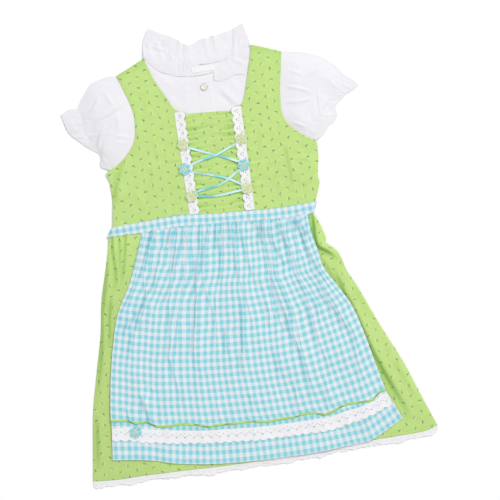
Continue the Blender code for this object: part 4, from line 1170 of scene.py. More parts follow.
@dataclass(frozen=True)
class Twist:
    """Twisted yarn or cord: its strands wind round it."""

    name: str
    tone: tuple
    shade: tuple
    pitch: float = 1.1      # from strand to strand
    roughness: float = 0.72
    depth: float = 0.05
    deep: float = 0.45      # mean share of the shade
    wound: float = 0.3      # how much of it follows the strands
    mottled: float = 1.3    # how much of it comes in uneven spots

    def material(self) -> bpy.types.Material:
        """Strands as a slanting sine of the UV, which runs along and round the cord.

        Returns:
            The material, ready for a piece.
        """
        graph = Graph(self.name)
        u, v = graph.cloth_place()
        place = graph.object_place()
        strand = graph.maths("SINE", (u + v * 0.9) * (2 * math.pi / self.pitch))
        fuzz, uneven = graph.noise(place, 900.0, 3.0), graph.noise(place, 260.0, 2.0)
        # painted shade: the cord is darker where a fold swallows it, from the number each point
        # holds
        sunk = graph.lent("sunk")
        share = (self.deep - strand * self.wound + (fuzz - 0.5) * 0.5
                 + (uneven - 0.5) * self.mottled + sunk * 0.9)
        tone = graph.tinted(graph.mix(share, self.tone, self.shade),
                            0.94 + uneven * 0.12 - sunk * 0.4)
        return graph.cloth(tone, self.roughness, strand + fuzz * 0.8, self.depth, sheen=0.2,
                           fuzz=0.4, shine=0.35)


@dataclass(frozen=True)
class Pearl:
    """Pearl button plastic: clear coat over a softly swirled body."""

    name: str = "pearl_plastic"
    tone: tuple = (0.800, 0.780, 0.720)
    rim: tuple = (0.560, 0.490, 0.370)
    rim_from: float = 4.0

    def material(self) -> bpy.types.Material:
        """Beige at the rim, by the distance from the middle that the UV holds.

        Returns:
            The material, ready for a piece.
        """
        graph = Graph(self.name)
        u, v = graph.cloth_place()
        reach = graph.maths("SQRT", u * u + v * v)
        swirl = graph.noise(graph.vector(u * 0.25, v * 0.5), 1.0, 4.0)
        ring = graph.step(reach, self.rim_from, self.rim_from + 0.7)
        tone = graph.mix(ring * 0.8 + (swirl - 0.5) * 0.4, self.tone, self.rim)
        return graph.finish({"Base Color": tone, "Roughness": 0.22 + swirl * 0.1,
                             "Coat Weight": 0.5, "Coat Roughness": 0.08,
                             "Specular IOR Level": 0.5}, swirl, 0.04)


@dataclass(frozen=True)
class SewingThread:
    """Plied polyester thread."""

    name: str
    tone: tuple

    def material(self) -> bpy.types.Material:
        """Uneven fuzz, lighter where it stands up, as painted light.

        Returns:
            The material, ready for a piece.
        """
        graph = Graph(self.name)
        place = graph.object_place()
        fuzz = graph.noise(place, 1500.0, 2.0)
        return graph.finish({"Base Color": graph.tinted(self.tone, 0.85 + fuzz * 0.3),
                             "Roughness": 0.55, "Specular IOR Level": 0.4}, fuzz, 0.06)


@dataclass(frozen=True)
class StudioPaper:
    """Seamless white paper under the set."""

    name: str = "white_paper"
    tone: tuple = (0.985, 0.985, 0.985)

    def material(self) -> bpy.types.Material:
        """White with the faintest tooth.

        Returns:
            The material, ready for a piece.
        """
        graph = Graph(self.name)
        tooth = graph.noise(graph.object_place(), 400.0, 2.0)
        return graph.finish({"Base Color": graph.tinted(self.tone, 0.995 + tooth * 0.01),
                             "Roughness": 0.9, "Specular IOR Level": 0.2}, tooth, 0.02)


class Held(Enum):
    """How a sheet of cloth lies."""

    LAID = "laid"
    GATHERED = "gathered"


class Slot(Enum):
    """Material slots of the record."""

    DRESS = "dress_cotton"
    BLOUSE = "blouse_cotton"
    APRON = "apron_gingham"
    LACE = "lace"
    RIBBON = "ribbon_satin"
    AQUA = "crochet_aqua"
    GREEN = "crochet_green"
    PIPING = "piping_green"
    BUTTON = "button_pearl"
    LABEL = "label_white"


class Wardrobe:
    """The finishes, each made once, and the way each piece is put in place."""

    def __init__(self) -> None:
        """Make each finish's material."""
        self.sprig = SprigCotton().material()
        self.gingham = Gingham().material()
        self.white = WhiteCotton().material()
        self.lace = LaceThread().material()
        self.satin = Satin().material()
        self.aqua_yarn = Twist("aqua_yarn", (0.58, 0.93, 0.96), (0.13, 0.64, 0.77),
                               mottled=1.7).material()
        self.green_yarn = Twist("pale_green_yarn", (0.91, 0.94, 0.74), (0.56, 0.74, 0.26),
                                deep=0.38, mottled=1.6).material()
        self.gold_yarn = Twist("straw_yarn", (0.88, 0.90, 0.62), (0.76, 0.74, 0.40)).material()
        self.piping = Twist("green_piping", (0.49, 0.76, 0.190), (0.17, 0.38, 0.055),
                            pitch=5.4, roughness=0.6, deep=0.22, wound=0.12).material()
        self.pearl = Pearl().material()
        self.label = WhiteCotton("woven_label", (0.86, 0.855, 0.87), 0.5, 0.05).material()
        self.white_thread = SewingThread("white_thread", (0.86, 0.86, 0.88)).material()
        self.lime_thread = SewingThread("lime_thread", (0.42, 0.66, 0.18)).material()

    def place(self, piece: bpy.types.Object, slot: Slot, *nodes: str) -> None:
        """Let a piece ride on the one body and stand for its solids.

        Args:
            piece: the finished piece.
            slot: its slot; not used.
            nodes: the solids that it stands for.
        """
        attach(piece, "root")
        if nodes:
            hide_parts(*nodes)
        LOG.info("%s: %d faces", piece.name, len(piece.data.polygons))

    def sheet(self, piece: bpy.types.Object, slot: Slot, node: str, flat: tuple[float, float],
              held: Held, rests_on: Sequence[str], area: float | None = None) -> None:
        """Put a sheet of cloth in place.

        Args:
            piece: the sheet.
            slot: its material slot.
            node: the solid that it stands for.
            flat: the cut's width and length in mm.
            held: how it lies; not used.
            rests_on: what it lies on or is sewn to.
            area: the cut's share of its width times length, where it isn't a rectangle.
        """
        self.place(piece, slot, node)
        width, length = flat[0] * MM, flat[1] * MM
        list(rests_on)
        None if area is None else area * width * length


# ---- levels -------------------------------------------------------------------------------
def waist_lift(plan: Array) -> Array:
    """How far cloth is lifted where it crosses the waistband at the back.

    Level for BAND_CLEAR beyond the band and down again over BAND_RAMP.

    Args:
        plan: places, any shape by 2.

    Returns:
        Lifts in mm.
    """
    x, y = plan[..., 0], plan[..., 1]
    top, bottom = y_at(BAND_TOP, x), y_at(BAND_BOTTOM, x)
    outside = np.abs(y - (top + bottom) / 2) - (top - bottom) / 2
    return BAND_LIFT * (1 - smooth((outside - BAND_CLEAR) / BAND_RAMP))


def blouse_lift(plan: Array) -> Array:
    """How far the blouse lifts what lies on it, rising from the waist to its hem."""
    return BLOUSE_STACK * ramp(plan[..., 1], *BLOUSE_RAMP)


def back_face(plan: Array, folds: Array) -> tuple[Array, Array]:
    """Upper face of a back panel with its folds pressed flat, and the painted shade in its
    hollows.
    """
    hollow = np.clip(folds, 0.0, BACK_DEPTH)
    return GROUND + DRESS_WALL + waist_lift(plan) + hollow, BACK_SHADE * hollow


def even(length: float, step: float) -> int:
    """An even count of steps that fit a length."""
    return max(2, 2 * int(round(length / step / 2)))


# ---- dress --------------------------------------------------------------------------------
@dataclass
class Bodice:
    """Sleeveless bodice: back, two fronts and a centre panel gathered from both sides."""

    wardrobe: Wardrobe
    length: float = 262.0           # from waist to shoulder
    front_width: float = 120.0
    back_size: tuple = (300.0, 250.0)
    centre_size: tuple = (83.0, 158.0)
    centre_fullness: float = 1.18   # cut length over the panel's
    step: float = 1.7               # of the grids
    back_step: float = 2.4
    centre_step: float = 1.15
    rumpled: float = 0.30           # height of the fronts' creasing
    left_folds: tuple = (
        Fold(((-112, 116), (-123, 92), (-130, 75), (-138, 52), (-145, 34)), 1.9, width=7.5,
             steep=4.2),
        Fold(((-76, 96), (-79, 78), (-80, 56)), 0.7, width=4, steep=2.5),
        Fold(((-66, 128), (-68, 116), (-66, 95)), 0.6, width=4, steep=2.5))
    right_folds: tuple = (
        Fold(((125, 104), (127, 75), (128, 50), (125, 22)), 1.2, width=6, steep=2.6),
        Fold(((92, 132), (90, 110), (86, 84)), 0.6, width=5, steep=3.0))
    left_creases: tuple = (
        Crease(-142, 18, -126, 11, 1.0, 3.0), Crease(-40, 134, -58, 122, 1.3, 3.5, 2.0, True),
        Crease(-35, 99, -68, 97, 1.3, 2.6, 0, True), Crease(-60, 96, -88, 87, 0.8, 3.0, 1.0),
        Crease(-34, 57, -54, 58, 1.3, 2.4, 0, True), Crease(-35, 24, -50, 22, 1.3, 2.6, 0, True),
        Crease(-34, 150, -50, 152, 1.0, 2.8, 0, True), Crease(-34, 76, -46, 78, 0.9, 2.4, 0, True),
        Crease(-34, 40, -44, 38, 0.9, 2.4, 0, True), Crease(-100, 244, -74, 246, -0.7, 5.0),
        Crease(-86, 208, -62, 207, 0.8, 5.0), Crease(-140, 95, -108, 99, 0.8, 4.5, -2.0),
        Crease(-84, 42, -104, 18, 0.7, 4.5), Crease(-52, 118, -88, 112, 0.5, 6.0),
        Crease(-76, 182, -60, 158, 0.8, 4.5), Crease(-92, 170, -84, 132, 0.7, 5.0),
        Crease(-110, 66, -96, 30, 0.7, 5.0), Crease(-60, 44, -72, 12, 0.7, 4.5))
    right_creases: tuple = (
        Crease(66, 77, 95, 72, 1.6, 3.0, 0.0, True), Crease(90, 73, 116, 75, 0.8, 3.5),
        Crease(66, 44, 97, 40, 1.4, 4.0, 2.0, True), Crease(66, 98, 84, 96, 1.2, 2.6, 0.0, True),
        Crease(66, 20, 92, 26, 1.2, 3.2, 0, True), Crease(66, 58, 78, 57, 0.9, 2.4, 0, True),
        Crease(136, 94, 160, 64, 1.0, 3.6, -2.0), Crease(130, 75, 167, 72, 0.9, 3.2),
        Crease(166, 44, 132, 36, 0.9, 4.0, 1.0), Crease(148, 96, 118, 88, 0.7, 5.0),
        Crease(112, 176, 98, 160, 0.8, 5.0), Crease(124, 222, 104, 212, 0.7, 5.0),
        Crease(132, 238, 104, 236, -0.6, 5.0), Crease(70, 140, 86, 132, 1.2, 3.0, 0.0, True),
        Crease(66, 118, 80, 116, 1.0, 2.6, 0.0, True), Crease(104, 52, 112, 14, 0.7, 5.0),
        Crease(112, 20, 150, 14, 0.6, 4.0), Crease(84, 200, 100, 190, 0.6, 4.0))
    back_creases: tuple = (
        Crease(-128, 14, -96, 62, 0.6, 5.0), Crease(-70, 8, -64, 58, 0.5, 4.0),
        Crease(-20, 10, -30, 76, 0.6, 5.0, 3.0), Crease(34, 8, 30, 48, 0.5, 3.6),
        Crease(72, 8, 88, 70, 0.6, 5.0), Crease(140, 10, 118, 54, 0.6, 4.6),
        Crease(-140, 90, -92, 108, 0.6, 4.4, 3.0), Crease(164, 90, 118, 112, 0.6, 4.4, -3.0),
        Crease(-84, 160, -50, 128, 0.5, 6.0), Crease(112, 158, 70, 122, 0.5, 6.0),
        Crease(-20, 214, 20, 206, 0.4, 6.0), Crease(-96, 232, -70, 222, 0.4, 4.0),
        Crease(10, 150, 24, 96, 0.5, 7.0), Crease(120, 232, 98, 222, 0.4, 4.0))
    #: of each gather beside the laces: place y, depth, half width, reach inwards, mm
    left_gathers: tuple = (
        (160, 0.8, 1.4, 9), (153, 0.9, 1.5, 14), (146, 0.8, 1.7, 11), (135, 1.9, 1.9, 34),
        (129, 0.8, 1.3, 13), (121, 1.1, 1.7, 17), (113, 0.8, 1.5, 11), (104, 1.2, 1.9, 20),
        (95, 2.0, 1.8, 24), (88, 1.0, 1.4, 12), (77, 1.2, 1.9, 24), (66, 1.5, 1.5, 15),
        (53, 1.6, 1.8, 20), (44, 1.1, 1.5, 14), (32, 1.0, 1.9, 20), (19, 1.6, 1.8, 24),
        (13, 0.9, 1.5, 14))
    right_gathers: tuple = (
        (153, 1.5, 1.4, 22), (148, 1.4, 1.6, 15), (140, 0.9, 1.5, 12), (130, 1.9, 1.8, 30),
        (119, 1.6, 1.7, 18), (112, 1.0, 1.9, 18), (105, 0.8, 1.5, 11), (98, 2.1, 1.8, 20),
        (87, 1.1, 1.7, 15), (75, 1.2, 1.7, 20), (66, 1.2, 1.4, 13), (53, 1.2, 1.7, 17),
        (44, 1.6, 1.8, 24), (31, 0.9, 1.5, 15), (19, 1.5, 1.9, 22), (11, 0.9, 1.5, 13))

    def front_top(self, plan: Array, side_table: Points, creases: Sequence[Crease],
                  long_folds: Sequence[Fold]) -> Array:
        """Upper face of a front: on the blouse, down to the back at the waist and side.

        Args:
            plan: places, any shape by 2.
            side_table: its side seam, up which it comes down to the back.
            creases, long_folds: what gives it relief, which is weaker near the seam.

        Returns:
            Heights in mm.
        """
        x, y = plan[..., 0], plan[..., 1]
        from_side = np.abs(x - x_at(side_table, np.minimum(y, side_table[-1][1])))
        below_arm = 1 - ramp(y, *ARM_RAMP)
        tuck = 1 - below_arm * (1 - smooth(from_side / SIDE_RAMP))
        closed = 0.45 * below_arm * (1 - smooth(from_side / 4.0))
        folds = (relief(plan, creases) + pressed(plan, long_folds)
                 + rumple(plan, self.rumpled, 11))
        near_edge = smooth(from_side / 6.0)
        return (FRONT_LEVEL + DRESS_WALL + 0.1 + waist_lift(plan) + blouse_lift(plan) * tuck
                - closed + folds * (0.35 + 0.65 * near_edge))

    def left_top(self, plan: Array) -> Array:
        """Upper face of the left front."""
        return self.front_top(plan, SIDE_LEFT, self.left_creases, self.left_folds)

    def right_top(self, plan: Array) -> Array:
        """Upper face of the right front."""
        return self.front_top(plan, SIDE_RIGHT, self.right_creases, self.right_folds)

    def centre_top(self, plan: Array) -> Array:
        """Upper face of the centre panel."""
        return self.centre_base(plan) + self.gathers(plan) + rumple(plan, 0.14, 29)

    def gathers(self, plan: Array) -> Array:
        """Height of the centre panel's gathers.

        Each is a bell in y less a smaller one beside it. It fades with the distance from its
        lace, exp(-(distance / 0.85 reach)^1.3), and bends a little as it goes in.

        Args:
            plan: places, any shape by 2.

        Returns:
            Heights in mm.
        """
        x, y = plan[..., 0], plan[..., 1]
        height = np.zeros(plan.shape[:-1])
        bend = 1.6 * np.sin(x / 17.0 + y / 31.0) + 0.8 * np.sin(x / 7.3 - y / 13.0)
        for rows, inwards in ((self.left_gathers, x + 19.0), (self.right_gathers, 52.0 - x)):
            held = np.maximum(inwards, 0.0)
            for place, depth, half, reach in rows:
                lean = (y - place + bend * smooth(held / 20.0)) / (1.5 * half)
                bells = np.exp(-lean ** 2) - 0.6 * np.exp(-(lean - 1.5) ** 2)
                height += (depth * np.exp(-(held / (0.85 * reach)) ** 1.3) * bells
                           * ramp(inwards, -6.0, -0.5))
        free = ramp(y - y_at(BAND_TOP, x), 1.0, 8.0) * ramp(165.5 - y, 0.0, 6.0)
        return np.clip(1.6 * height * free, -0.9, 1.6)

    def centre_base(self, plan: Array) -> Array:
        """Upper face of the centre panel before its gathers."""
        return FRONT_LEVEL + DRESS_WALL + 0.2 + waist_lift(plan) + blouse_lift(plan)

    def build_back(self) -> bpy.types.Object:
        """Back bodice, cut in one with both straps.

        Returns:
            The finished panel.
        """
        columns, rows = (even(size, self.back_step) for size in self.back_size)
        upper = chain(columns, SHOULDER_LEFT, NECK_BACK, SHOULDER_RIGHT)
        left = chain(rows, SIDE_LEFT, ARMHOLE_LEFT)
        right = chain(rows, SIDE_RIGHT, ARMHOLE_RIGHT)
        waist = curve((SIDE_LEFT[0], (0, 3.5), (60, 0.5), SIDE_RIGHT[0]), columns)
        plan = fill(waist, upper, left, right)
        inside = np.minimum(plan[..., 0] - left[:, :1], right[:, :1] - plan[..., 0])
        drawn_in = 2.2 * ramp(plan[..., 1], 96, 112) * (1 - smooth(inside / 60.0))
        plan[..., 0] += drawn_in * np.sign(10.0 - plan[..., 0])
        top, shade = back_face(plan, relief(plan, self.back_creases) + rumple(plan, 0.22, 5))
        return shell("bodice_back_cloth", plan, top, DRESS_WALL, self.wardrobe.sprig, shade)

    def build_front(self, name: str, outer: Array, inner: Array, shoulder: Points,
                    top: Callable[[Array], Array]) -> bpy.types.Object:
        """One front, filled in between its edges.

        Args:
            name: the piece's name.
            outer, inner: plan points up its side and armhole, and up its seam and neck.
            shoulder: table of its upper edge.
            top: gives the height of its upper face.

        Returns:
            The front, with painted shade in its folds, and darker just under the shoulder.
        """
        columns = even(self.front_width, self.step)
        waist = curve((tuple(outer[0]), tuple(inner[0])), columns)
        neck = curve(shoulder, columns)
        if np.linalg.norm(neck[0] - outer[-1]) > np.linalg.norm(neck[-1] - outer[-1]):
            neck = neck[::-1]
        plan = fill(waist, neck, outer, inner)
        far = plan[..., 1] - y_at(shoulder, plan[..., 0])
        # darker just under the shoulder, and painted shade in the folds
        shade = (0.30 * smooth(1 + far / 16.0)
                 + sum(fold.shade(plan) for fold in self.left_folds + self.right_folds))
        return shell(name, plan, top(plan), DRESS_WALL, self.wardrobe.sprig,
                     np.clip(shade, 0, 1))

    def build(self) -> None:
        """Make the four pieces and put them in place."""
        rows = even(self.length, self.step)
        back = self.build_back()
        left = self.build_front("bodice_front_left_cloth", chain(rows, SIDE_LEFT, ARMHOLE_LEFT),
                                chain(rows, SEAM_LEFT, NECK_LEFT), SHOULDER_LEFT, self.left_top)
        right = self.build_front("bodice_front_right_cloth",
                                 chain(rows, SIDE_RIGHT, ARMHOLE_RIGHT),
                                 chain(rows, SEAM_RIGHT, NECK_RIGHT), SHOULDER_RIGHT,
                                 self.right_top)
        wide, tall = (even(size, self.centre_step) for size in self.centre_size)
        lower = curve((CENTRE_LEFT[0], CENTRE_RIGHT[0]), wide)
        upper = curve((CENTRE_LEFT[1], (16, 162.2), CENTRE_RIGHT[1]), wide)
        plan = fill(lower, upper, curve(CENTRE_LEFT, tall), curve(CENTRE_RIGHT, tall))
        centre = shell("bodice_centre_cloth", plan, self.centre_top(plan), DRESS_WALL,
                       self.wardrobe.sprig, np.clip(-0.8 * self.gathers(plan), 0, 1),
                       plan * (1.0, self.centre_fullness))
        sheet = self.wardrobe.sheet
        sheet(back, Slot.DRESS, "bodice_back", (325, 262), Held.LAID, ["skirt_back"], 0.72)
        sheet(left, Slot.DRESS, "bodice_front_left", (126, 258), Held.LAID,
              ["blouse_front", "bodice_back"], 0.66)
        sheet(right, Slot.DRESS, "bodice_front_right", (116, 256), Held.LAID,
              ["blouse_front", "bodice_back"], 0.66)
        sheet(centre, Slot.DRESS, "bodice_centre", (84, 190), Held.GATHERED,
              ["blouse_front", "bodice_front_left"])


@dataclass
class Skirt:
    """Skirt of two panels; the front one's folds show beside the apron."""

    wardrobe: Wardrobe
    size: tuple = (430.0, 362.0)    # mean width, and from waist to hem
    step: float = 1.9               # of the front's grid
    back_step: float = 3.0
    back_print: float = 310.0       # how far along the cloth the back is cut
    folds: tuple = (
        Fold(((152, -18), (150.5, -42), (152, -58), (166, -70), (184, -88)), 5.6, width=10,
             steep=3.4, root=True, cast=9.0),
        Fold(((166, -80), (172, -96), (179, -121), (184, -145), (194, -179), (206, -214),
              (226, -267), (246, -316), (258, -352)), 5.2, width=16, steep=4.2,
             cast=15.0),
        Fold(((154, -74), (162, -94), (172, -122)), 1.8, width=5, steep=2.6, cast=12.0),
        Fold(((196, -118), (207, -150), (222, -190)), 0.9, width=7, steep=3.5),
        Fold(((236, -236), (252, -276), (266, -316)), 1.0, width=8, steep=3.5),
        Fold(((-158, -4), (-161, -32), (-169, -66), (-176, -93), (-183, -120), (-187, -150),
              (-193, -180), (-199, -205), (-207, -235), (-214, -264)), 3.6, width=6,
             steep=3.4),
        Fold(((-130, -4), (-134, -25), (-141, -54), (-150, -77)), 2.6, width=4, steep=2.6,
             root=True),
        Fold(((-150, -4), (-152, -28), (-153, -60), (-160, -87)), 3.0, width=4, steep=3.0,
             root=True),
        Fold(((-160, -82), (-167, -102), (-172, -125), (-175, -148), (-182, -172)), 3.0,
             width=4, steep=3.0),
        Fold(((-140, -6), (-143, -30), (-147, -57)), 2.0, width=3, steep=2.4, root=True),
        Fold(((-210, -258), (-216, -300), (-222, -350)), 2.8, width=7, steep=3.6))
    back_folds: tuple = (
        Fold(((-132, -14), (-142, -70), (-156, -150), (-168, -224)), 0.60, width=9, root=True),
        Fold(((-96, -14), (-102, -52), (-110, -96)), 0.50, width=6, root=True),
        Fold(((-58, -14), (-64, -80), (-78, -190), (-88, -290)), 0.62, width=11, root=True),
        Fold(((-22, -16), (-24, -66)), 0.45, width=5, root=True),
        Fold(((6, -16), (4, -90), (-4, -180)), 0.58, width=8, root=True),
        Fold(((48, -18), (54, -58), (60, -112)), 0.50, width=6, root=True),
        Fold(((74, -18), (90, -110), (108, -230), (118, -316)), 0.62, width=12, root=True),
        Fold(((110, -20), (124, -70), (140, -128)), 0.52, width=7, root=True),
        Fold(((132, -22), (158, -110), (190, -210), (214, -280)), 0.60, width=10, root=True),
        Fold(((-116, -180), (-126, -262), (-130, -346)), 0.55, width=9),
        Fold(((30, -196), (32, -276), (28, -348)), 0.50, width=10),
        Fold(((176, -222), (204, -300), (222, -350)), 0.50, width=9))
    creases: tuple = (
        Crease(183, -84, 196, -128, -0.9, 4.0), Crease(250, -330, 262, -356, -0.7, 6.0),
        Crease(228, -200, 240, -236, 0.8, 5.0), Crease(-226, -305, -231, -350, -0.8, 4.0),
        Crease(-160, -344, -120, -350, 0.6, 6.0), Crease(214, -348, 250, -342, 0.7, 5.0),
        Crease(-190, -226, -184, -262, 0.7, 4.0), Crease(212, -262, 224, -312, 0.8, 5.0))

    def front_top(self, plan: Array) -> Array:
        """Upper face of the front panel: its folds rise where the apron leaves it free.

        Args:
            plan: places, any shape by 2.

        Returns:
            Heights in mm.
        """
        x, y = plan[..., 0], plan[..., 1]
        beside = np.maximum(x_at(APRON_LEFT, y) - x, x - x_at(APRON_RIGHT, y))
        below = y_at(APRON_HEM, x) - y
        free = smooth((np.maximum(beside, below) - 0.5) / 4.0)
        folds = pressed(plan, self.folds) + relief(plan, self.creases) + rumple(plan, 0.48, 41)
        from_rim = np.minimum(x - x_at(SKIRT_LEFT, y), x_at(SKIRT_RIGHT, y) - x)
        rim = smooth(from_rim / 7.0)
        return (FRONT_LEVEL + DRESS_WALL + 0.05 + waist_lift(plan) - 0.45 * (1 - rim)
                + np.maximum(folds, -0.5) * free * (0.3 + 0.7 * rim))

    def shade(self, plan: Array) -> Array:
        """How deep each place lies in the front panel's folds."""
        return np.clip(sum(fold.shade(plan) for fold in self.folds), 0, 1)

    def plan(self, step: float) -> Array:
        """Plan of a panel, in steps of about this length."""
        columns, rows = (even(size, step) for size in self.size)
        return fill(curve(SKIRT_HEM, columns), curve(SKIRT_TOP, columns),
                    curve(SKIRT_LEFT, rows), curve(SKIRT_RIGHT, rows))

    def build(self) -> None:
        """Make both panels and put them in place."""
        cotton, sheet = self.wardrobe.sprig, self.wardrobe.sheet
        plan = self.plan(self.step)
        front = shell("skirt_front_cloth", plan, self.front_top(plan), DRESS_WALL, cotton,
                      self.shade(plan))
        plan = self.plan(self.back_step)
        top, shade = back_face(plan, pressed(plan, self.back_folds) + rumple(plan, 0.22, 47))
        back = shell("skirt_back_cloth", plan, top, DRESS_WALL, cotton, shade,
                     plan + (self.back_print, 0.0))
        sheet(front, Slot.DRESS, "skirt_front", (540, 362), Held.LAID, ["skirt_back"], 0.80)
        sheet(back, Slot.DRESS, "skirt_back", (540, 362), Held.LAID, [], 0.80)


@dataclass(frozen=True)
class Eyelet:
    """A hole of a lace's repeat: shares of the repeat and of the width, and its radius."""

    along: float
    across: float
    radius: float


@dataclass
class Lace:
    """Eyelet lace: a strip with round holes, corded rims and one scalloped edge."""

    wardrobe: Wardrobe
    eyelets: tuple
    depth: float            # of the scallops
    wall: float
    cord: float             # strength of the corded rims
    cell: float = 0.5       # of the grid
    repeat: float = 12.7

    def holes(self, s: Array, w: Array, repeat: float, width: float
              ) -> tuple[Array, Array, Array]:
        """Look from each place along, s, and across, w, to the nearest hole's circle.

        Args:
            s, w: places in mm.
            repeat: length of the pattern.
            width: of the lace.

        Returns:
            Distance to the circle, below 0 inside it, and the two parts of the way out from
            the hole's middle.
        """
        nearest = np.full(s.shape, 1e3)
        way_s, way_w = np.zeros(s.shape), np.zeros(s.shape)
        for hole in self.eyelets:
            from_s = ((s / repeat - hole.along + 0.5) % 1.0 - 0.5) * repeat
            from_w = w - hole.across * width
            reach = np.maximum(np.hypot(from_s, from_w), 1e-6)
            gap = reach - hole.radius
            closer = np.abs(gap) < np.abs(nearest)
            nearest = np.where(closer, gap, nearest)
            way_s = np.where(closer, from_s / reach, way_s)
            way_w = np.where(closer, from_w / reach, way_w)
        return nearest, way_s, way_w

    def strip(self, name: str, straight: Array, scalloped: Array, width: float,
              height: Callable[[Array, Array, Array], Array]) -> bpy.types.Object:
        """Make a strip between its sewn edge and its scalloped edge.

        A grid point nearer than half a cell to a hole's circle is drawn on to the circle,
        and a cell with all its corners inside goes. The rim of a hole and of the edge are
        bells of the distance from them.

        Args:
            name: the piece's name.
            straight: plan points of the sewn edge.
            scalloped: plan points of the line that the scallops stand on.
            width: of the lace, between the two.
            height: upper face from plan, place along and place across, all in mm.

        Returns:
            The strip.
        """
        total = reach_of(straight)
        rows, columns = max(6, int(width / self.cell)), int(total / self.cell)
        scallops = max(1, round(total / self.repeat))
        repeat = total / scallops
        s = np.linspace(0.0, total, columns + 1)[None] * np.ones((rows + 1, 1))
        bump = self.depth * np.abs(np.sin(np.pi * s / repeat))
        w = np.linspace(0.0, 1.0, rows + 1)[:, None] * (width + bump)
        edge = width + bump - w
        nearest, way_s, way_w = self.holes(s, w, repeat, width)
        inner = (s > self.cell) & (s < total - self.cell) & (edge > self.cell) & (w > self.cell)
        drawn = inner & (np.abs(nearest) < 0.55 * self.cell)
        s = np.where(drawn, s - nearest * way_s, s)
        w = np.where(drawn, w - nearest * way_w, w)
        away = np.where(drawn, 0.0, nearest)
        hollow = inner & (away <= 1e-6)
        gone = hollow[:-1, :-1] & hollow[1:, :-1] & hollow[:-1, 1:] & hollow[1:, 1:]
        stations = np.clip(s / total, 0, 1)
        near, far = length_of(straight), length_of(scalloped)
        plan = np.stack([np.interp(stations, near, straight[:, k]) * (1 - w / width)
                         + np.interp(stations, far, scalloped[:, k]) * w / width
                         for k in (0, 1)], axis=-1)
        ridge = (0.38 * np.exp(-((away - 0.45) / 0.4) ** 2)
                 + 0.34 * np.exp(-((edge - 0.75) / 0.5) ** 2)
                 + 0.14 * np.exp(-((w - 1.0) / 0.5) ** 2)
                 + 0.10 * np.sin(2 * np.pi * s / 1.05) * np.exp(-((edge - 1.3) / 1.0) ** 2))
        top = height(plan, s, w) + self.cord * ridge
        return pierced(name, plan, top, self.wall, np.dstack([s, w]), ~gone,
                       self.wardrobe.lace)


@dataclass(frozen=True)
class HemRun:
    """The hem lace of one skirt panel, in mm."""

    side: str
    seam: float             # upper face at the seam
    floor: float            # upper face at the free edge, in the dips
    ripple: float           # height of the ripples there
    phase: float            # where its ripples and its wander start
    cell: float             # of the grid
    short: float = 0.0      # how much shorter it hangs


@dataclass
class HemLace:
    """Narrow gathered lace sewn under the hem of each skirt panel."""

    wardrobe: Wardrobe
    drop: float = 8.6
    sway: float = 1.3
    ripples: float = 31.0           # in the length of the hem
    length: float = 530.0
    runs: tuple = (HemRun("front", 1.5, 0.85, 0.6, 0.0, 0.66),
                   HemRun("back", 0.75, 0.42, 0.25, 1.9, 0.8, 0.9))
    eyelets: tuple = (Eyelet(0.5, 0.58, 0.52), Eyelet(0.0, 0.40, 0.46))

    def top(self, run: HemRun, s: Array, w: Array) -> Array:
        """Upper face: down to the floor from the seam, in long uneven ripples.

        Args:
            run: the strip.
            s: place along the seam, in mm.
            w: place down the strip, in mm.

        Returns:
            Heights in mm.
        """
        share = smooth(w / self.drop)
        ripple = wave(self.ripples * s / self.length + 0.9 * np.sin(s / 31.0)
                      + 0.5 * np.sin(s / 13.0) + run.phase)
        return run.floor + (run.seam - run.floor) * (1 - share) + share * ripple * run.ripple

    def build(self) -> None:
        """Make the front and the back lace and put them in place.

        The free edge wanders: its drop is a sum of three sines of the place along the hem.
        """
        seam = curve(SKIRT_HEM, 900) + (0.0, 0.6)
        turn = np.linspace(0.0, 1.0, len(seam))
        for run in self.runs:
            phase = run.phase
            drop = (self.drop + 1.5 * np.sin(2 * np.pi * 9.3 * turn + 0.8 + phase)
                    + self.sway * np.sin(2 * np.pi * 3.7 * turn + phase)
                    + 0.8 * np.sin(2 * np.pi * 21.7 * turn + 2 * phase)) - run.short
            free = seam - np.column_stack([1.4 * np.sin(2 * np.pi * 17 * turn + phase), drop])
            lace = Lace(self.wardrobe, self.eyelets, depth=0.9, wall=0.3, cord=0.3,
                        cell=run.cell, repeat=8.4)
            piece = lace.strip(f"hem_lace_{run.side}_strip", seam, free, self.drop,
                               lambda plan, s, w: self.top(run, s, w))
            self.wardrobe.sheet(piece, Slot.LACE, f"hem_lace_{run.side}", (560, 11),
                                Held.GATHERED, [f"skirt_{run.side}"])


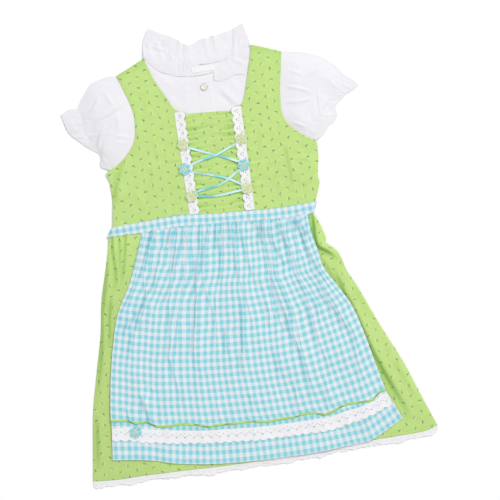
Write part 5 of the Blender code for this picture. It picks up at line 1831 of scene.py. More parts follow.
@dataclass
class BodiceLaces:
    """The two strips of lace that cover the seams of the centre panel."""

    wardrobe: Wardrobe
    bodice: Bodice
    width: float = 12.6
    #: side, x of the sewn edge at the bottom, how far it leans, top y, bottom y
    rows: tuple = (("left", -33.0, -0.5, 168.5, 14.0), ("right", 64.5, 2.5, 164.0, 8.0))
    eyelets: tuple = (Eyelet(0.5, 0.74, 0.95), Eyelet(0.34, 0.50, 0.8), Eyelet(0.66, 0.50, 0.8),
                      Eyelet(0.0, 0.30, 0.85))

    def line(self, row: tuple, off: float, short: float = 0.0, count: int = 200) -> Array:
        """Plan points up a strip, off its sewn edge and short of both its ends.

        Args:
            row: the strip's row of sizes.
            off: distance inwards from its sewn edge, in mm.
            short: what is left out at either end, in mm.
            count: number of points.

        Returns:
            Points by 2.
        """
        side, outer_x, lean, top_y, bottom_y = row
        y = np.linspace(bottom_y + short, top_y - short, count)
        inward = off if side == "left" else -off
        return np.column_stack([outer_x + lean * (y - bottom_y) / (top_y - bottom_y) + inward, y])

    def level(self, plan: Array) -> Array:
        """Upper face of a strip: on its front panel, and past the seam on the centre.

        Args:
            plan: places, any shape by 2.

        Returns:
            Heights in mm.
        """
        bodice = self.bodice
        x, y = plan[..., 0], plan[..., 1]
        wobble = 0.10 * np.sin(y / 6.1) + 0.06 * np.sin(y / 2.9 + 1.0)
        left, right = bodice.left_top(plan), bodice.right_top(plan)
        raised = bodice.centre_base(plan) + 0.95 * np.maximum(ramp(x, -25, -19),
                                                              ramp(x, 59, 53))
        over = np.where(x < 17.0, left + (raised - left) * ramp(x, -27, -23),
                        right + (raised - right) * ramp(x, 61, 56))
        return over + 0.75 + wobble

    def build(self) -> None:
        """Make both strips and put them in place."""
        lace = Lace(self.wardrobe, self.eyelets, depth=3.1, wall=0.4, cord=0.5)
        for row in self.rows:
            side, _, _, top_y, bottom_y = row
            piece = lace.strip(f"lace_{side}_strip", self.line(row, 0.0),
                               self.line(row, self.width), self.width,
                               lambda plan, s, w: self.level(plan))
            self.wardrobe.sheet(piece, Slot.LACE, f"lace_{side}", (16.5, top_y - bottom_y),
                                Held.LAID, [f"bodice_front_{side}"])


@dataclass
class Lacing:
    """Satin ribbon laced across the centre panel in five runs."""

    wardrobe: Wardrobe
    width: float = 3.4
    thick: float = 0.36
    sides: int = 12                 # points round the section
    steps: int = 90                 # along a run
    #: name, path in plan with its height, how far it turns over from end to end, and how
    #: deep its tone gets at shares of its length, as its floats turn from the light
    rows: tuple = (
        ("ribbon_1_down", ((-24, 115.2, 7.2), (-14, 111, 7.0), (4, 103, 6.7), (19, 97, 6.6),
                           (34, 90.5, 6.9), (49, 83.4, 7.3), (55, 80.5, 7.3)), (0.25, -0.2),
         ((0, 0.8), (0.10, 0.1), (0.45, 0.1), (0.58, 1), (0.74, 0.9), (0.84, 0.1), (1, 0.2))),
        ("ribbon_1_up", ((-25, 85.5, 7.2), (-14, 89.5, 7.1), (0, 93, 7.3), (19, 96.7, 7.75),
                         (34, 102.5, 7.4), (49.5, 108.3, 7.2), (56, 111.5, 7.2)), (-0.35, 0.3),
         ((0, 0.3), (0.08, 0.05), (0.24, 0.2), (0.33, 1), (0.47, 0.9), (0.56, 0.1), (1, 0.05))),
        ("ribbon_2_down", ((-25, 79.5, 7.3), (-14, 74.6, 7.1), (6, 69, 6.8), (20, 64.2, 6.6),
                           (33, 58.6, 6.6), (48, 49.6, 7.1), (54, 45.5, 7.2)), (0.3, 0.45),
         ((0, 0.9), (0.10, 0.15), (0.40, 0.05), (0.49, 1), (0.63, 0.9), (0.72, 0.1), (1, 0.1))),
        ("ribbon_2_up", ((-21.5, 44.6, 7.1), (-12, 47.8, 7.0), (8, 50.2, 7.0), (20, 52.6, 7.2),
                         (33, 58.5, 7.75), (45, 66.6, 7.4), (54, 71.5, 7.3)), (0.5, -0.2),
         ((0, 1), (0.14, 0.3), (0.24, 1), (0.38, 0.9), (0.48, 0.15), (0.8, 0.05), (1, 0.2))),
        ("ribbon_3_across", ((-21.5, 40.6, 7.1), (-12, 39.0, 6.9), (4, 36.6, 6.7),
                             (20, 36.6, 6.7), (40, 38.6, 6.8), (48, 39.2, 7.0),
                             (54, 40.2, 7.1)), (0.45, 0.1),
         ((0, 1), (0.32, 0.95), (0.42, 0.1), (0.9, 0.05), (1, 0.3))))

    def build(self) -> None:
        """Sweep a flat rounded section along each path, turning it over as it goes."""
        angle = np.linspace(0, 2 * np.pi, self.sides, endpoint=False)
        flat = np.sign(np.cos(angle)) * np.abs(np.cos(angle)) ** 0.6 * self.width / 2
        deep = np.sign(np.sin(angle)) * np.abs(np.sin(angle)) ** 0.7 * self.thick / 2
        for name, table, turns, tones in self.rows:
            path = curve(table, self.steps)
            share = np.linspace(0, 1, len(path))
            turn = turns[0] * np.sin(np.pi * share * 1.4) + turns[1] * np.sin(np.pi * share * 2.6)
            ahead = unit(np.gradient(path, axis=0))
            level = unit(np.cross(UP, ahead))
            up = np.cross(ahead, level)
            cos, sin = np.cos(turn)[:, None], np.sin(turn)[:, None]
            across, out = level * cos + up * sin, up * cos - level * sin
            rings = (path[:, None] + flat[None, :, None] * across[:, None]
                     + deep[None, :, None] * out[:, None])
            rings[..., 2] += 0.12 * np.sin(share * 19.0)[:, None]
            index = np.arange(len(path) * self.sides).reshape(len(path), self.sides)
            after = np.roll(index, -1, axis=1)
            faces = np.stack([index[:-1], after[:-1], after[1:], index[1:]], axis=-1)
            maps = spread(flat + self.width / 2, share[:, None] * reach_of(path))
            ends = [tuple(index[0][::-1].tolist()), tuple(index[-1].tolist())]
            piece = mesh_object(f"{name}_satin", rings.reshape(-1, 3),
                                faces.reshape(-1, 4).tolist() + ends, maps.reshape(-1, 2),
                                self.wardrobe.satin)
            # painted highlight: the table's depths, held at each ring, say where the ribbon shows
            # its pale sheen
            depth = np.interp(share, *np.array(tones, dtype=float).T)
            lend(piece, "painted_sheen_depth", np.repeat(depth, self.sides))
            self.wardrobe.place(piece, Slot.RIBBON, name)


@dataclass
class Flower:
    """Crochet flower: looped petals in two rows round a straw-coloured eye."""

    wardrobe: Wardrobe
    name: str
    x: float
    y: float
    level: float
    slot: Slot
    turn: float = 0.0
    radius: float = 9.2
    eye: float = 2.6                # radius at which the posts start
    petals: int = 6
    scallop: float = 0.55           # below 1, so that the petals' tips are broad
    post: float = 0.56              # radius of a post's yarn
    #: of each row of petals: how far inside the radius it lies, how far it comes in between
    #: petals, height of its middle, lift at the tips, radius of the yarn, steps along it
    rows: tuple = ((0.7, 3.2, 0.85, 0.45, 0.78, 96), (3.2, 2.0, 1.25, 0.25, 0.55, 84))
    #: the same of each coil of the eye, but with the coil's own radius first
    coils: tuple = ((2.7, 0.25, 1.45, 0.1, 0.66, 40), (1.25, 0.1, 1.75, 0.0, 0.6, 24))

    def ring(self, reach: float, depth: float, height: float, lift: float, size: float,
             steps: int) -> tuple[Array, Array, Array]:
        """A wavy ring of yarn: its radius is reach less depth between petals.

        Args:
            reach: radius at a petal's tip.
            depth: how far it comes in between petals.
            height: of the yarn's middle between petals.
            lift: how much higher at the tips.
            size: radius of the yarn.
            steps: along the ring.

        Returns:
            Points, faces and UV.
        """
        angle = np.linspace(0, 2 * np.pi, steps, endpoint=False)
        tip = 0.5 + 0.5 * np.cos(self.petals * angle)
        bulge = tip ** self.scallop
        far = reach - depth * (1 - bulge)
        pull = 0.10 * np.sin(self.petals * angle) * (1 - tip)
        path = np.column_stack([far * np.cos(angle + self.turn + pull),
                                far * np.sin(angle + self.turn + pull),
                                height + lift * bulge]) + (self.x, self.y, self.level)
        sides = 8
        points, faces = yarn(path, size, sides, True)
        run = np.linspace(0, 2 * np.pi * far.mean(), steps)
        around = np.linspace(0, 2 * np.pi * size, sides)
        maps = np.dstack(np.meshgrid(run, around, indexing="ij")).reshape(-1, 2)
        return points, faces, maps

    def posts(self) -> tuple[Array, Array, Array]:
        """Short yarn posts from the eye out to the petals' edge, three to a petal.

        Returns:
            Points, faces and the cloth's places of all of them.
        """
        sides, share = 6, np.linspace(0, 1, 7)
        angle = np.linspace(0, 2 * np.pi, 3 * self.petals, endpoint=False) + self.turn
        tip = 0.5 + 0.5 * np.cos(self.petals * (angle - self.turn))
        far = self.radius - 0.8 - 3.2 * (1 - tip ** self.scallop)
        parts, maps = [], []
        for way, reach in zip(angle, far):
            r = self.eye + (reach - self.eye) * share
            z = 0.75 + 0.55 * np.sin(np.pi * share)
            path = np.column_stack([self.x + r * math.cos(way), self.y + r * math.sin(way),
                                    self.level + z])
            parts.append(yarn(path, self.post, sides, False))
            run = np.repeat(share * (reach - self.eye), sides)
            maps.append(np.column_stack([run, np.tile(np.linspace(0, 3.4, sides), len(share))]))
        points, faces = joined(parts)
        return points, np.array(faces), np.vstack(maps)

    def build(self) -> None:
        """Two rings of petals, the posts between them and an eye of two coils."""
        colours = self.wardrobe
        petals = [self.ring(self.radius - short, *sizes) for short, *sizes in self.rows]
        petals.append(self.posts())
        eye = [self.ring(*sizes) for sizes in self.coils]
        parts = petals + eye
        points, faces = joined([(part[0], part[1]) for part in parts])
        maps = np.vstack([part[2] for part in parts])
        yarns = colours.aqua_yarn if self.slot is Slot.AQUA else colours.green_yarn
        piece = mesh_object(f"{self.name}_crochet", points, faces, maps, yarns)
        piece.data.materials.append(colours.gold_yarn)
        first = sum(len(part[1]) for part in petals)
        numbers = (np.arange(len(faces)) >= first).astype(np.int32)
        piece.data.polygons.foreach_set("material_index", numbers)
        colours.place(piece, self.slot, self.name)


#: of each flower on the laces: node, x, y, level, yarn and turn
FLOWERS = (("flower_left_top", -27, 119.5, 6.75, Slot.GREEN, 0.2),
           ("flower_left_middle", -30, 82.5, 6.85, Slot.AQUA, 0.5),
           ("flower_left_bottom", -25.5, 41.5, 6.7, Slot.GREEN, 0.0),
           ("flower_right_top", 60.5, 115.5, 6.75, Slot.GREEN, 0.35),
           ("flower_right_middle", 58, 76, 6.85, Slot.AQUA, 0.1),
           ("flower_right_bottom", 58, 41, 6.7, Slot.GREEN, 0.6))
APRON_FLOWER = (-160.5, -295.0)


# ---- apron --------------------------------------------------------------------------------
@dataclass
class Apron:
    """Gingham apron: gathered panel, corded tuck, hem band with lace, and waistband."""

    wardrobe: Wardrobe
    length: float = 300.0
    width: float = 430.0
    press: float = 1.15             # strength of the listed folds and of the gathers
    band_pitch: float = 10.4        # of the waistband's checks, which are cut across
    drift: float = 24.0             # how far the panel's middle threads stray to the left
    panel_grid: tuple = (384, 150)  # columns and rows
    band_grid: tuple = (320, 14)    # of the waistband
    seed: int = 23                  # of the gathers' places and sizes
    #: of the folds that run down from the band, in kinds: count, lengths, heights, widths
    #: and cloth hidden, each as least and most
    gathers: tuple = (
        (34, (10, 46), (0.4, 1.3), (1.4, 3.4), (1.5, 4.0)),
        (9, (40, 150), (0.4, 1.3), (2.5, 6.5), (5.0, 9.0)),
        (8, (115, 250), (0.3, 1.0), (5.0, 10.0), (7.5, 10.5)))
    folds: tuple = (
        Fold(((-91, -2), (-98, -22), (-102, -35), (-108, -52), (-112, -66)), 1.6, 8, root=True),
        Fold(((-63, -3), (-72, -22), (-78, -34)), 1.6, 7, root=True),
        Fold(((-76, -20), (-84, -32), (-90, -60)), 1.0, 4),
        Fold(((-56, -25), (-64, -50), (-70, -78)), 1.3, 5),
        Fold(((-90, -48), (-98, -75), (-106, -102)), 1.3, 5),
        Fold(((-46, -3), (-50, -30)), 0.9, 4, root=True),
        Fold(((-24, -15), (-31, -50), (-34, -70), (-38, -95), (-43, -120), (-48, -145),
              (-53, -165), (-57, -192), (-58, -240)), 1.8, 7, 7.5, 2.8),
        Fold(((-15, -20), (-24, -62), (-30, -88)), 1.2, 5),
        Fold(((15, -3), (12, -32), (6, -50), (3, -65), (-1, -85), (-6, -105)), 1.5, 6, 8, 2.8,
             True),
        Fold(((24, -3), (25, -40)), 1.1, 4, root=True),
        Fold(((42, -8), (42, -45), (47, -85), (51, -112)), 1.2, 4),
        Fold(((61, -5), (67, -30), (69, -48)), 1.5, 5, root=True),
        Fold(((74, -5), (78, -40)), 0.9, 3, root=True),
        Fold(((84, -40), (92, -62), (102, -90)), 1.3, 4),
        Fold(((94, -6), (100, -30), (103, -45), (110, -60), (113, -78), (117, -110),
              (122, -130), (125, -160), (127, -180), (130, -200), (134, -215), (138, -230),
              (142, -245), (149, -270)), 1.5, 7, 8.0, 3.6, True),
        Fold(((116, -6), (126, -30), (130, -40), (133, -55), (142, -86)), 1.6, 7, root=True),
        Fold(((122, -8), (133, -30), (142, -54)), 1.2, 4, root=True),
        Fold(((136, -70), (145, -90), (160, -130)), 1.2, 4),
        Fold(((72, -68), (77, -103), (82, -130), (89, -160), (93, -185), (98, -203),
              (103, -222), (105, -250), (109, -275), (116, -308)), 1.5, 6, 8.5, 3.4),
        Fold(((131, -108), (133, -135), (136, -150), (135, -184)), 1.1, 4),
        Fold(((36, -103), (26, -122), (24, -143), (20, -172), (17, -195), (10, -215),
              (10, -244)), 1.5, 5, 7.0, 2.8),
        Fold(((17, -262), (19, -286)), 0.8, 3),
        Fold(((60, -126), (63, -145), (60, -174)), 1.0, 3),
        Fold(((65, -200), (64, -248)), 0.8, 3, 9.0, 2.8),
        Fold(((156, -128), (160, -148), (168, -168), (172, -180), (183, -196), (182, -215),
              (183, -240), (185, -300)), 1.0, 3, 9.0, 3.6),
        Fold(((142, -113), (143, -135), (146, -152)), 0.8, 2),
        Fold(((-113, -96), (-122, -112), (-133, -125), (-150, -138), (-157, -152)), 2.5, 6, 7.0,
             3.6),
        Fold(((-118, -114), (-127, -128), (-135, -140), (-147, -160), (-156, -190)), 1.7, 5, 6.0,
             3.4),
        Fold(((-95, -103), (-110, -125), (-120, -133)), 1.0, 3),
        Fold(((-82, -101), (-85, -140), (-90, -175), (-95, -190), (-92, -205), (-90, -228),
              (-84, -272)), 1.5, 5, 7.0, 2.8),
        Fold(((-12, -101), (-14, -125), (-16, -144)), 1.0, 3),
        Fold(((2, -156), (-8, -180), (-10, -204)), 1.2, 4),
        Fold(((-130, -223), (-125, -244)), 0.9, 3),
        Fold(((-142, -238), (-140, -260), (-132, -296)), 2.4, 6, 8.0, 3.8),
        Fold(((-170, -253), (-165, -286)), 1.1, 4),
        Fold(((86, -253), (84, -306)), 1.0, 3),
        Fold(((-36, -262), (-34, -300)), 0.7, 2, 8.0, 2.8),
        Fold(((134, -250), (128, -310)), 0.8, 2, 8.0, 2.8))
    hem_folds: tuple = (
        Crease(-134, -286, -126, -338, 0.8, 4.0, 2.0), Crease(-170, -284, -168, -330, 0.8, 4.0),
        Crease(-64, -300, -60, -334, 0.7, 3.5), Crease(16, -306, 14, -344, 0.8, 3.5),
        Crease(84, -306, 88, -352, 0.8, 4.0, 1.0), Crease(118, -308, 124, -346, 0.9, 3.4),
        Crease(150, -302, 160, -342, 0.8, 4.0), Crease(186, -300, 196, -336, 0.8, 4.0),
        Crease(-98, -340, -60, -352, 0.4, 5.0), Crease(40, -350, 110, -356, 0.35, 6.0))
    #: of the stretches where a fold swallows the cord: middle, half length, share left
    swallowed: tuple = ((-166, 5, 0.35), (-137, 8, 0.3), (-69, 4, 0.45), (-55.5, 4, 0.35),
                        (-25, 6, 0.6), (16, 3, 0.45), (82, 4, 0.4), (116, 5, 0.45),
                        (147.5, 4, 0.5), (182, 8, 0.65), (205, 4, 0.5))
    lace_width: float = 17.4
    eyelets: tuple = (Eyelet(0.5, 0.60, 1.35), Eyelet(0.0, 0.36, 0.85), Eyelet(0.24, 0.46, 0.72),
                      Eyelet(0.76, 0.46, 0.72), Eyelet(0.5, 0.24, 0.7))

    def share(self, plan: Array) -> Array:
        """Place across the apron, 0 at its left edge and 1 at its right, at each height."""
        left, right = x_at(APRON_LEFT, plan[..., 1]), x_at(APRON_RIGHT, plan[..., 1])
        return (plan[..., 0] - left) / (right - left)

    def all_folds(self) -> list[Fold]:
        """The listed folds, and uneven gathers that fan out from the band.

        Returns:
            Every fold of the panel.
        """
        draw = np.random.default_rng(self.seed)
        made = list(self.folds)
        for count, *spans in self.gathers:
            places = (np.arange(count) + draw.uniform(0.05, 0.95, count)) / count
            sizes = [draw.uniform(*span, count) for span in spans]
            leans, bends = draw.normal(0.0, 3.2, count), draw.normal(0.0, 1.6, count)
            flanks = draw.uniform(1.4, 3.4, count)
            for share, length, height, width, bite, lean, bend, flank in zip(
                    places, *sizes, leans, bends, flanks):
                share = 0.012 + 0.976 * share
                drops = np.array([1.0, 0.35 * length, 0.7 * length, length])
                left, right = APRON_LEFT[-1][0], APRON_RIGHT[-1][0]
                y = y_at(BAND_BOTTOM, left + share * (right - left)) - drops
                x = x_at(APRON_LEFT, y) * (1 - share) + x_at(APRON_RIGHT, y) * share
                x = x + (lean * np.array([0.0, 0.4, -0.2, 1.0])
                         + bend * np.array([0.0, 1.0, -1.0, 0.2])) * length / 60.0
                made.append(Fold(tuple(zip(x.tolist(), y.tolist())), height, bite, width,
                                 flank, True, 14.0 if length < 60 else 34.0))
        return made

    def ground(self, plan: Array) -> Array:
        """Underside before its folds: the skirt's level, with soft waves and creasing.

        Args:
            plan: places, any shape by 2.

        Returns:
            Heights in mm.
        """
        share = self.share(plan)
        down = np.maximum(y_at(BAND_BOTTOM, plan[..., 0]) - plan[..., 1], 0.0)
        sway = (1.1 * wave(7.3 * share + 0.6 * np.sin(5.0 * share) + down / 600.0)
                + 0.7 * wave(13.1 * share + 0.5 * np.sin(9.0 * share + down / 90.0) + 0.3))
        return (APRON_LEVEL + 0.15 + waist_lift(plan)
                + np.maximum(rumple(plan, 0.48, 71) + sway * smooth(down / 90), -0.3))

    def rim(self, plan: Array) -> Array:
        """Flat at both side hems and 1 elsewhere."""
        share = self.share(plan)
        return 0.25 + 0.75 * smooth(np.minimum(share, 1 - share) / 0.03)

    def hem_under(self, plan: Array) -> Array:
        """Underside of the hem band; what lies on it uses the same."""
        folds = relief(plan, self.hem_folds) + self.press * pressed(plan, self.folds)
        return self.ground(plan) + np.maximum(folds, -0.3) * self.rim(plan)

    def build_panel(self) -> bpy.types.Object:
        """The gathered panel from the band down to the tuck.

        Across a row, the place on the cloth is the share of the cut's width, and each fold
        draws the cloth on both sides of its line towards it. Up a column it is the distance
        from the tuck's even line, and the rows hang lower in the middle than at the right.

        Returns:
            The finished panel.
        """
        columns, rows = self.panel_grid
        tuck = offset(curve(APRON_TUCK, columns), 0.6)
        left, right = curve(APRON_LEFT, 400), curve(APRON_RIGHT, 400)
        stations = np.linspace(0, 1, rows + 1) ** 0.9
        sides = [resample(np.vstack([corner, edge[edge[:, 1] > corner[1]]]), stations)
                 for corner, edge in ((tuck[0], left), (tuck[-1], right))]
        band_x = np.linspace(sides[0][-1, 0], sides[1][-1, 0], columns + 1)
        upper = np.column_stack([band_x, y_at(BAND_BOTTOM, band_x) + 2.0])
        sides[0][-1], sides[1][-1] = upper[0], upper[-1]
        plan = fill(tuck, upper, *sides)
        folds = self.all_folds()
        raised = np.maximum(self.press * pressed(plan, folds), -0.4)
        base = self.ground(plan) + raised * self.rim(plan)
        drawn = sum(fold.drawn(plan) for fold in folds)
        share, x = self.share(plan), plan[..., 0]
        up = stations[:, None]
        stray = -self.drift * 4 * share * (1 - share) * smooth((up - 0.24) / 0.62)
        even_tuck = np.polyval(np.polyfit(tuck[:, 0], tuck[:, 1], 4), tuck[:, 0])
        steps = np.linalg.norm(np.diff(plan, axis=0), axis=2)
        along = np.concatenate([np.zeros((1, columns + 1)), np.cumsum(steps, axis=0)])
        hang = 0.07 * (np.sqrt(np.maximum(x - 65.0, 0.0) ** 2 + 400.0) - 20.0)
        uv = np.dstack([self.width * share + stray + drawn,
                        1.018 * along + 0.8 * (tuck[:, 1] - even_tuck)
                        - hang * 4 * up * (1 - up) + 0.1 * drawn])
        shade = np.clip(1.6 * sum(fold.shade(plan) for fold in folds), 0, 1)
        return shell("apron_panel_cloth", plan, base + APRON_WALL, APRON_WALL,
                     self.wardrobe.gingham, shade, uv)

    def build_hem_band(self) -> bpy.types.Object:
        """The plain part below the tuck.

        Returns:
            The finished band.
        """
        columns, rows = even(440, 1.5), even(62, 1.5)
        tuck = offset(curve(APRON_TUCK, columns), -0.6)
        hem = curve(APRON_HEM, columns)
        stations = np.linspace(0, 1, rows + 1)
        plan = fill(hem, tuck, resample(np.vstack([hem[:1], tuck[:1]]), stations),
                    resample(np.vstack([hem[-1:], tuck[-1:]]), stations))
        across = length_of(hem)[None]
        up = stations[:, None] * np.linalg.norm(plan[-1] - plan[0], axis=1)[None]
        slant = 0.17 * smooth(np.minimum(across, 1 - across) / 0.25)
        uv = np.dstack([across * self.width * 1.045 - slant * up, 0.93 * up + 1.0])
        shade = np.clip(1.6 * sum(fold.shade(plan) for fold in self.folds), 0, 1)
        return shell("apron_hem_band_cloth", plan, self.band_top(plan), APRON_WALL,
                     self.wardrobe.gingham, shade, uv)

    def build_piping(self) -> bpy.types.Object:
        """Twisted cord along the tuck, thin and low where a fold swallows it, with painted shade
        there.

        Returns:
            The finished cord.
        """
        path = curve(APRON_TUCK, 460)
        x = path[:, 0]
        shown = np.ones(len(path))
        for middle, reach, left in self.swallowed:
            shown = np.minimum(shown, 1 - (1 - left) * np.exp(-((x - middle) / reach) ** 4))
        kinks = 0.35 * np.sin(x / 5.3) * np.sin(x / 17.0 + 1.0)
        height = self.hem_under(path) + APRON_WALL - 0.45 + 0.8 * shown
        line = np.column_stack([x, path[:, 1] + kinks, height])
        sides = 10
        points, faces = yarn(line, 0.7 + 0.75 * shown, sides, False)
        run = np.repeat(length_of(path) * self.width, sides)
        maps = np.column_stack([run, np.tile(np.linspace(0, 9.1, sides), len(path))])
        cord = mesh_object("apron_piping_cord", points, faces.tolist(), maps,
                           self.wardrobe.piping)
        # painted shade on the swallowed stretches, read by the cord's finish
        lend(cord, "sunk", np.repeat(1 - shown, sides))
        return cord

    def build_lace(self) -> bpy.types.Object:
        """Lace across the hem band."""
        lace = Lace(self.wardrobe, self.eyelets, depth=2.8, wall=0.4, cord=0.6, cell=0.58)
        return lace.strip("apron_lace_strip", curve(LACE_UPPER, 500), curve(LACE_LOWER, 500),
                          self.lace_width, lambda plan, s, w: self.lace_top(plan))

    def band_top(self, plan: Array) -> Array:
        """Upper face of the hem band."""
        return self.hem_under(plan) + APRON_WALL

    def lace_top(self, plan: Array) -> Array:
        """Upper face of the lace on the hem band, before its corded rims."""
        return self.band_top(plan) + 0.5

    def rest(self, x: float, y: float, reach: float) -> float:
        """Height at which a flower of this reach rests on the lace's highest place under it."""
        around = np.linspace(0, 2 * np.pi, 12)
        rim = np.column_stack([reach * np.cos(around) + x, reach * np.sin(around) + y])
        return float(self.lace_top(rim).max()) + 0.2

    def build_waistband(self) -> bpy.types.Object:
        """The band all round the waist, one loop pressed flat, front over back.

        Its checks run square to its middle line: a place is measured along that line from
        the foot of the perpendicular, x + (y - middle) slope / (1 + slope^2), and off it.

        Returns:
            The finished band.
        """
        columns, rows = self.band_grid
        top, bottom = curve(BAND_TOP, columns), curve(BAND_BOTTOM, columns)
        up = np.linspace(0, 1, rows + 1)[:, None, None]
        plan = bottom[None] * (1 - up) + top[None] * up
        across = np.linspace(0, 1, columns + 1)[None]
        held = smooth(np.minimum(across, 1 - across) / 0.022)
        near_edge = np.minimum(up[..., 0], 1 - up[..., 0])
        edge = 1 - smooth(near_edge / 0.12)
        seam = np.exp(-((near_edge - 0.2) / 0.05) ** 2)
        pucker = wave(37.0 * across + 0.9 * np.sin(19 * across) + 0.6 * np.sin(47 * across))
        sag = (0.42 * pucker * (1 - 0.8 * up[..., 0]) + rumple(plan, 0.2, 97)
               - 0.16 * seam)
        crest = 2.4 + 3.05 * held + sag * held - 0.4 * edge
        upper = np.dstack([plan, crest])
        pick = np.linspace(0, columns, 66).round().astype(int)
        lower = np.dstack([plan[:, pick], np.full((rows + 1, len(pick)), GROUND)])
        line = np.linspace(-170.0, 170.0, 341)
        middle = 0.5 * (y_at(BAND_TOP, line) + y_at(BAND_BOTTOM, line))
        run = np.concatenate([[0.0], np.cumsum(np.hypot(np.diff(line), np.diff(middle)))])
        slope = np.interp(plan[..., 0], line, np.gradient(middle, line))
        off = plan[..., 1] - np.interp(plan[..., 0], line, middle)
        foot = plan[..., 0] + off * slope / (1 + slope ** 2)
        pitch = self.band_pitch
        u = np.interp(foot, line, run) * CHECK[0] / pitch
        v = CHECK[1] * (0.5 + off / np.sqrt(1 + slope ** 2) / pitch)
        flat_uv = np.dstack([u, v])
        return tube_wall("apron_waistband_loop", upper, lower, APRON_WALL, flat_uv,
                         flat_uv[:, pick] + (640.0, 0.0), self.wardrobe.gingham)

    def build(self) -> None:
        """Make every piece of the apron and put it in place."""
        panel, band = self.build_panel(), self.build_hem_band()
        piping, lace, waist = self.build_piping(), self.build_lace(), self.build_waistband()
        sheet = self.wardrobe.sheet
        sheet(panel, Slot.APRON, "apron_panel", (self.width, self.length), Held.GATHERED,
              ["skirt_front"])
        sheet(band, Slot.APRON, "apron_hem_band", (self.width, 60), Held.LAID, ["skirt_front"])
        sheet(lace, Slot.LACE, "apron_lace", (440, 20), Held.LAID, ["apron_hem_band"])
        sheet(waist, Slot.APRON, "apron_waistband", (640, 17), Held.LAID, ["bodice_back"])
        self.wardrobe.place(piping, Slot.PIPING, "apron_piping")


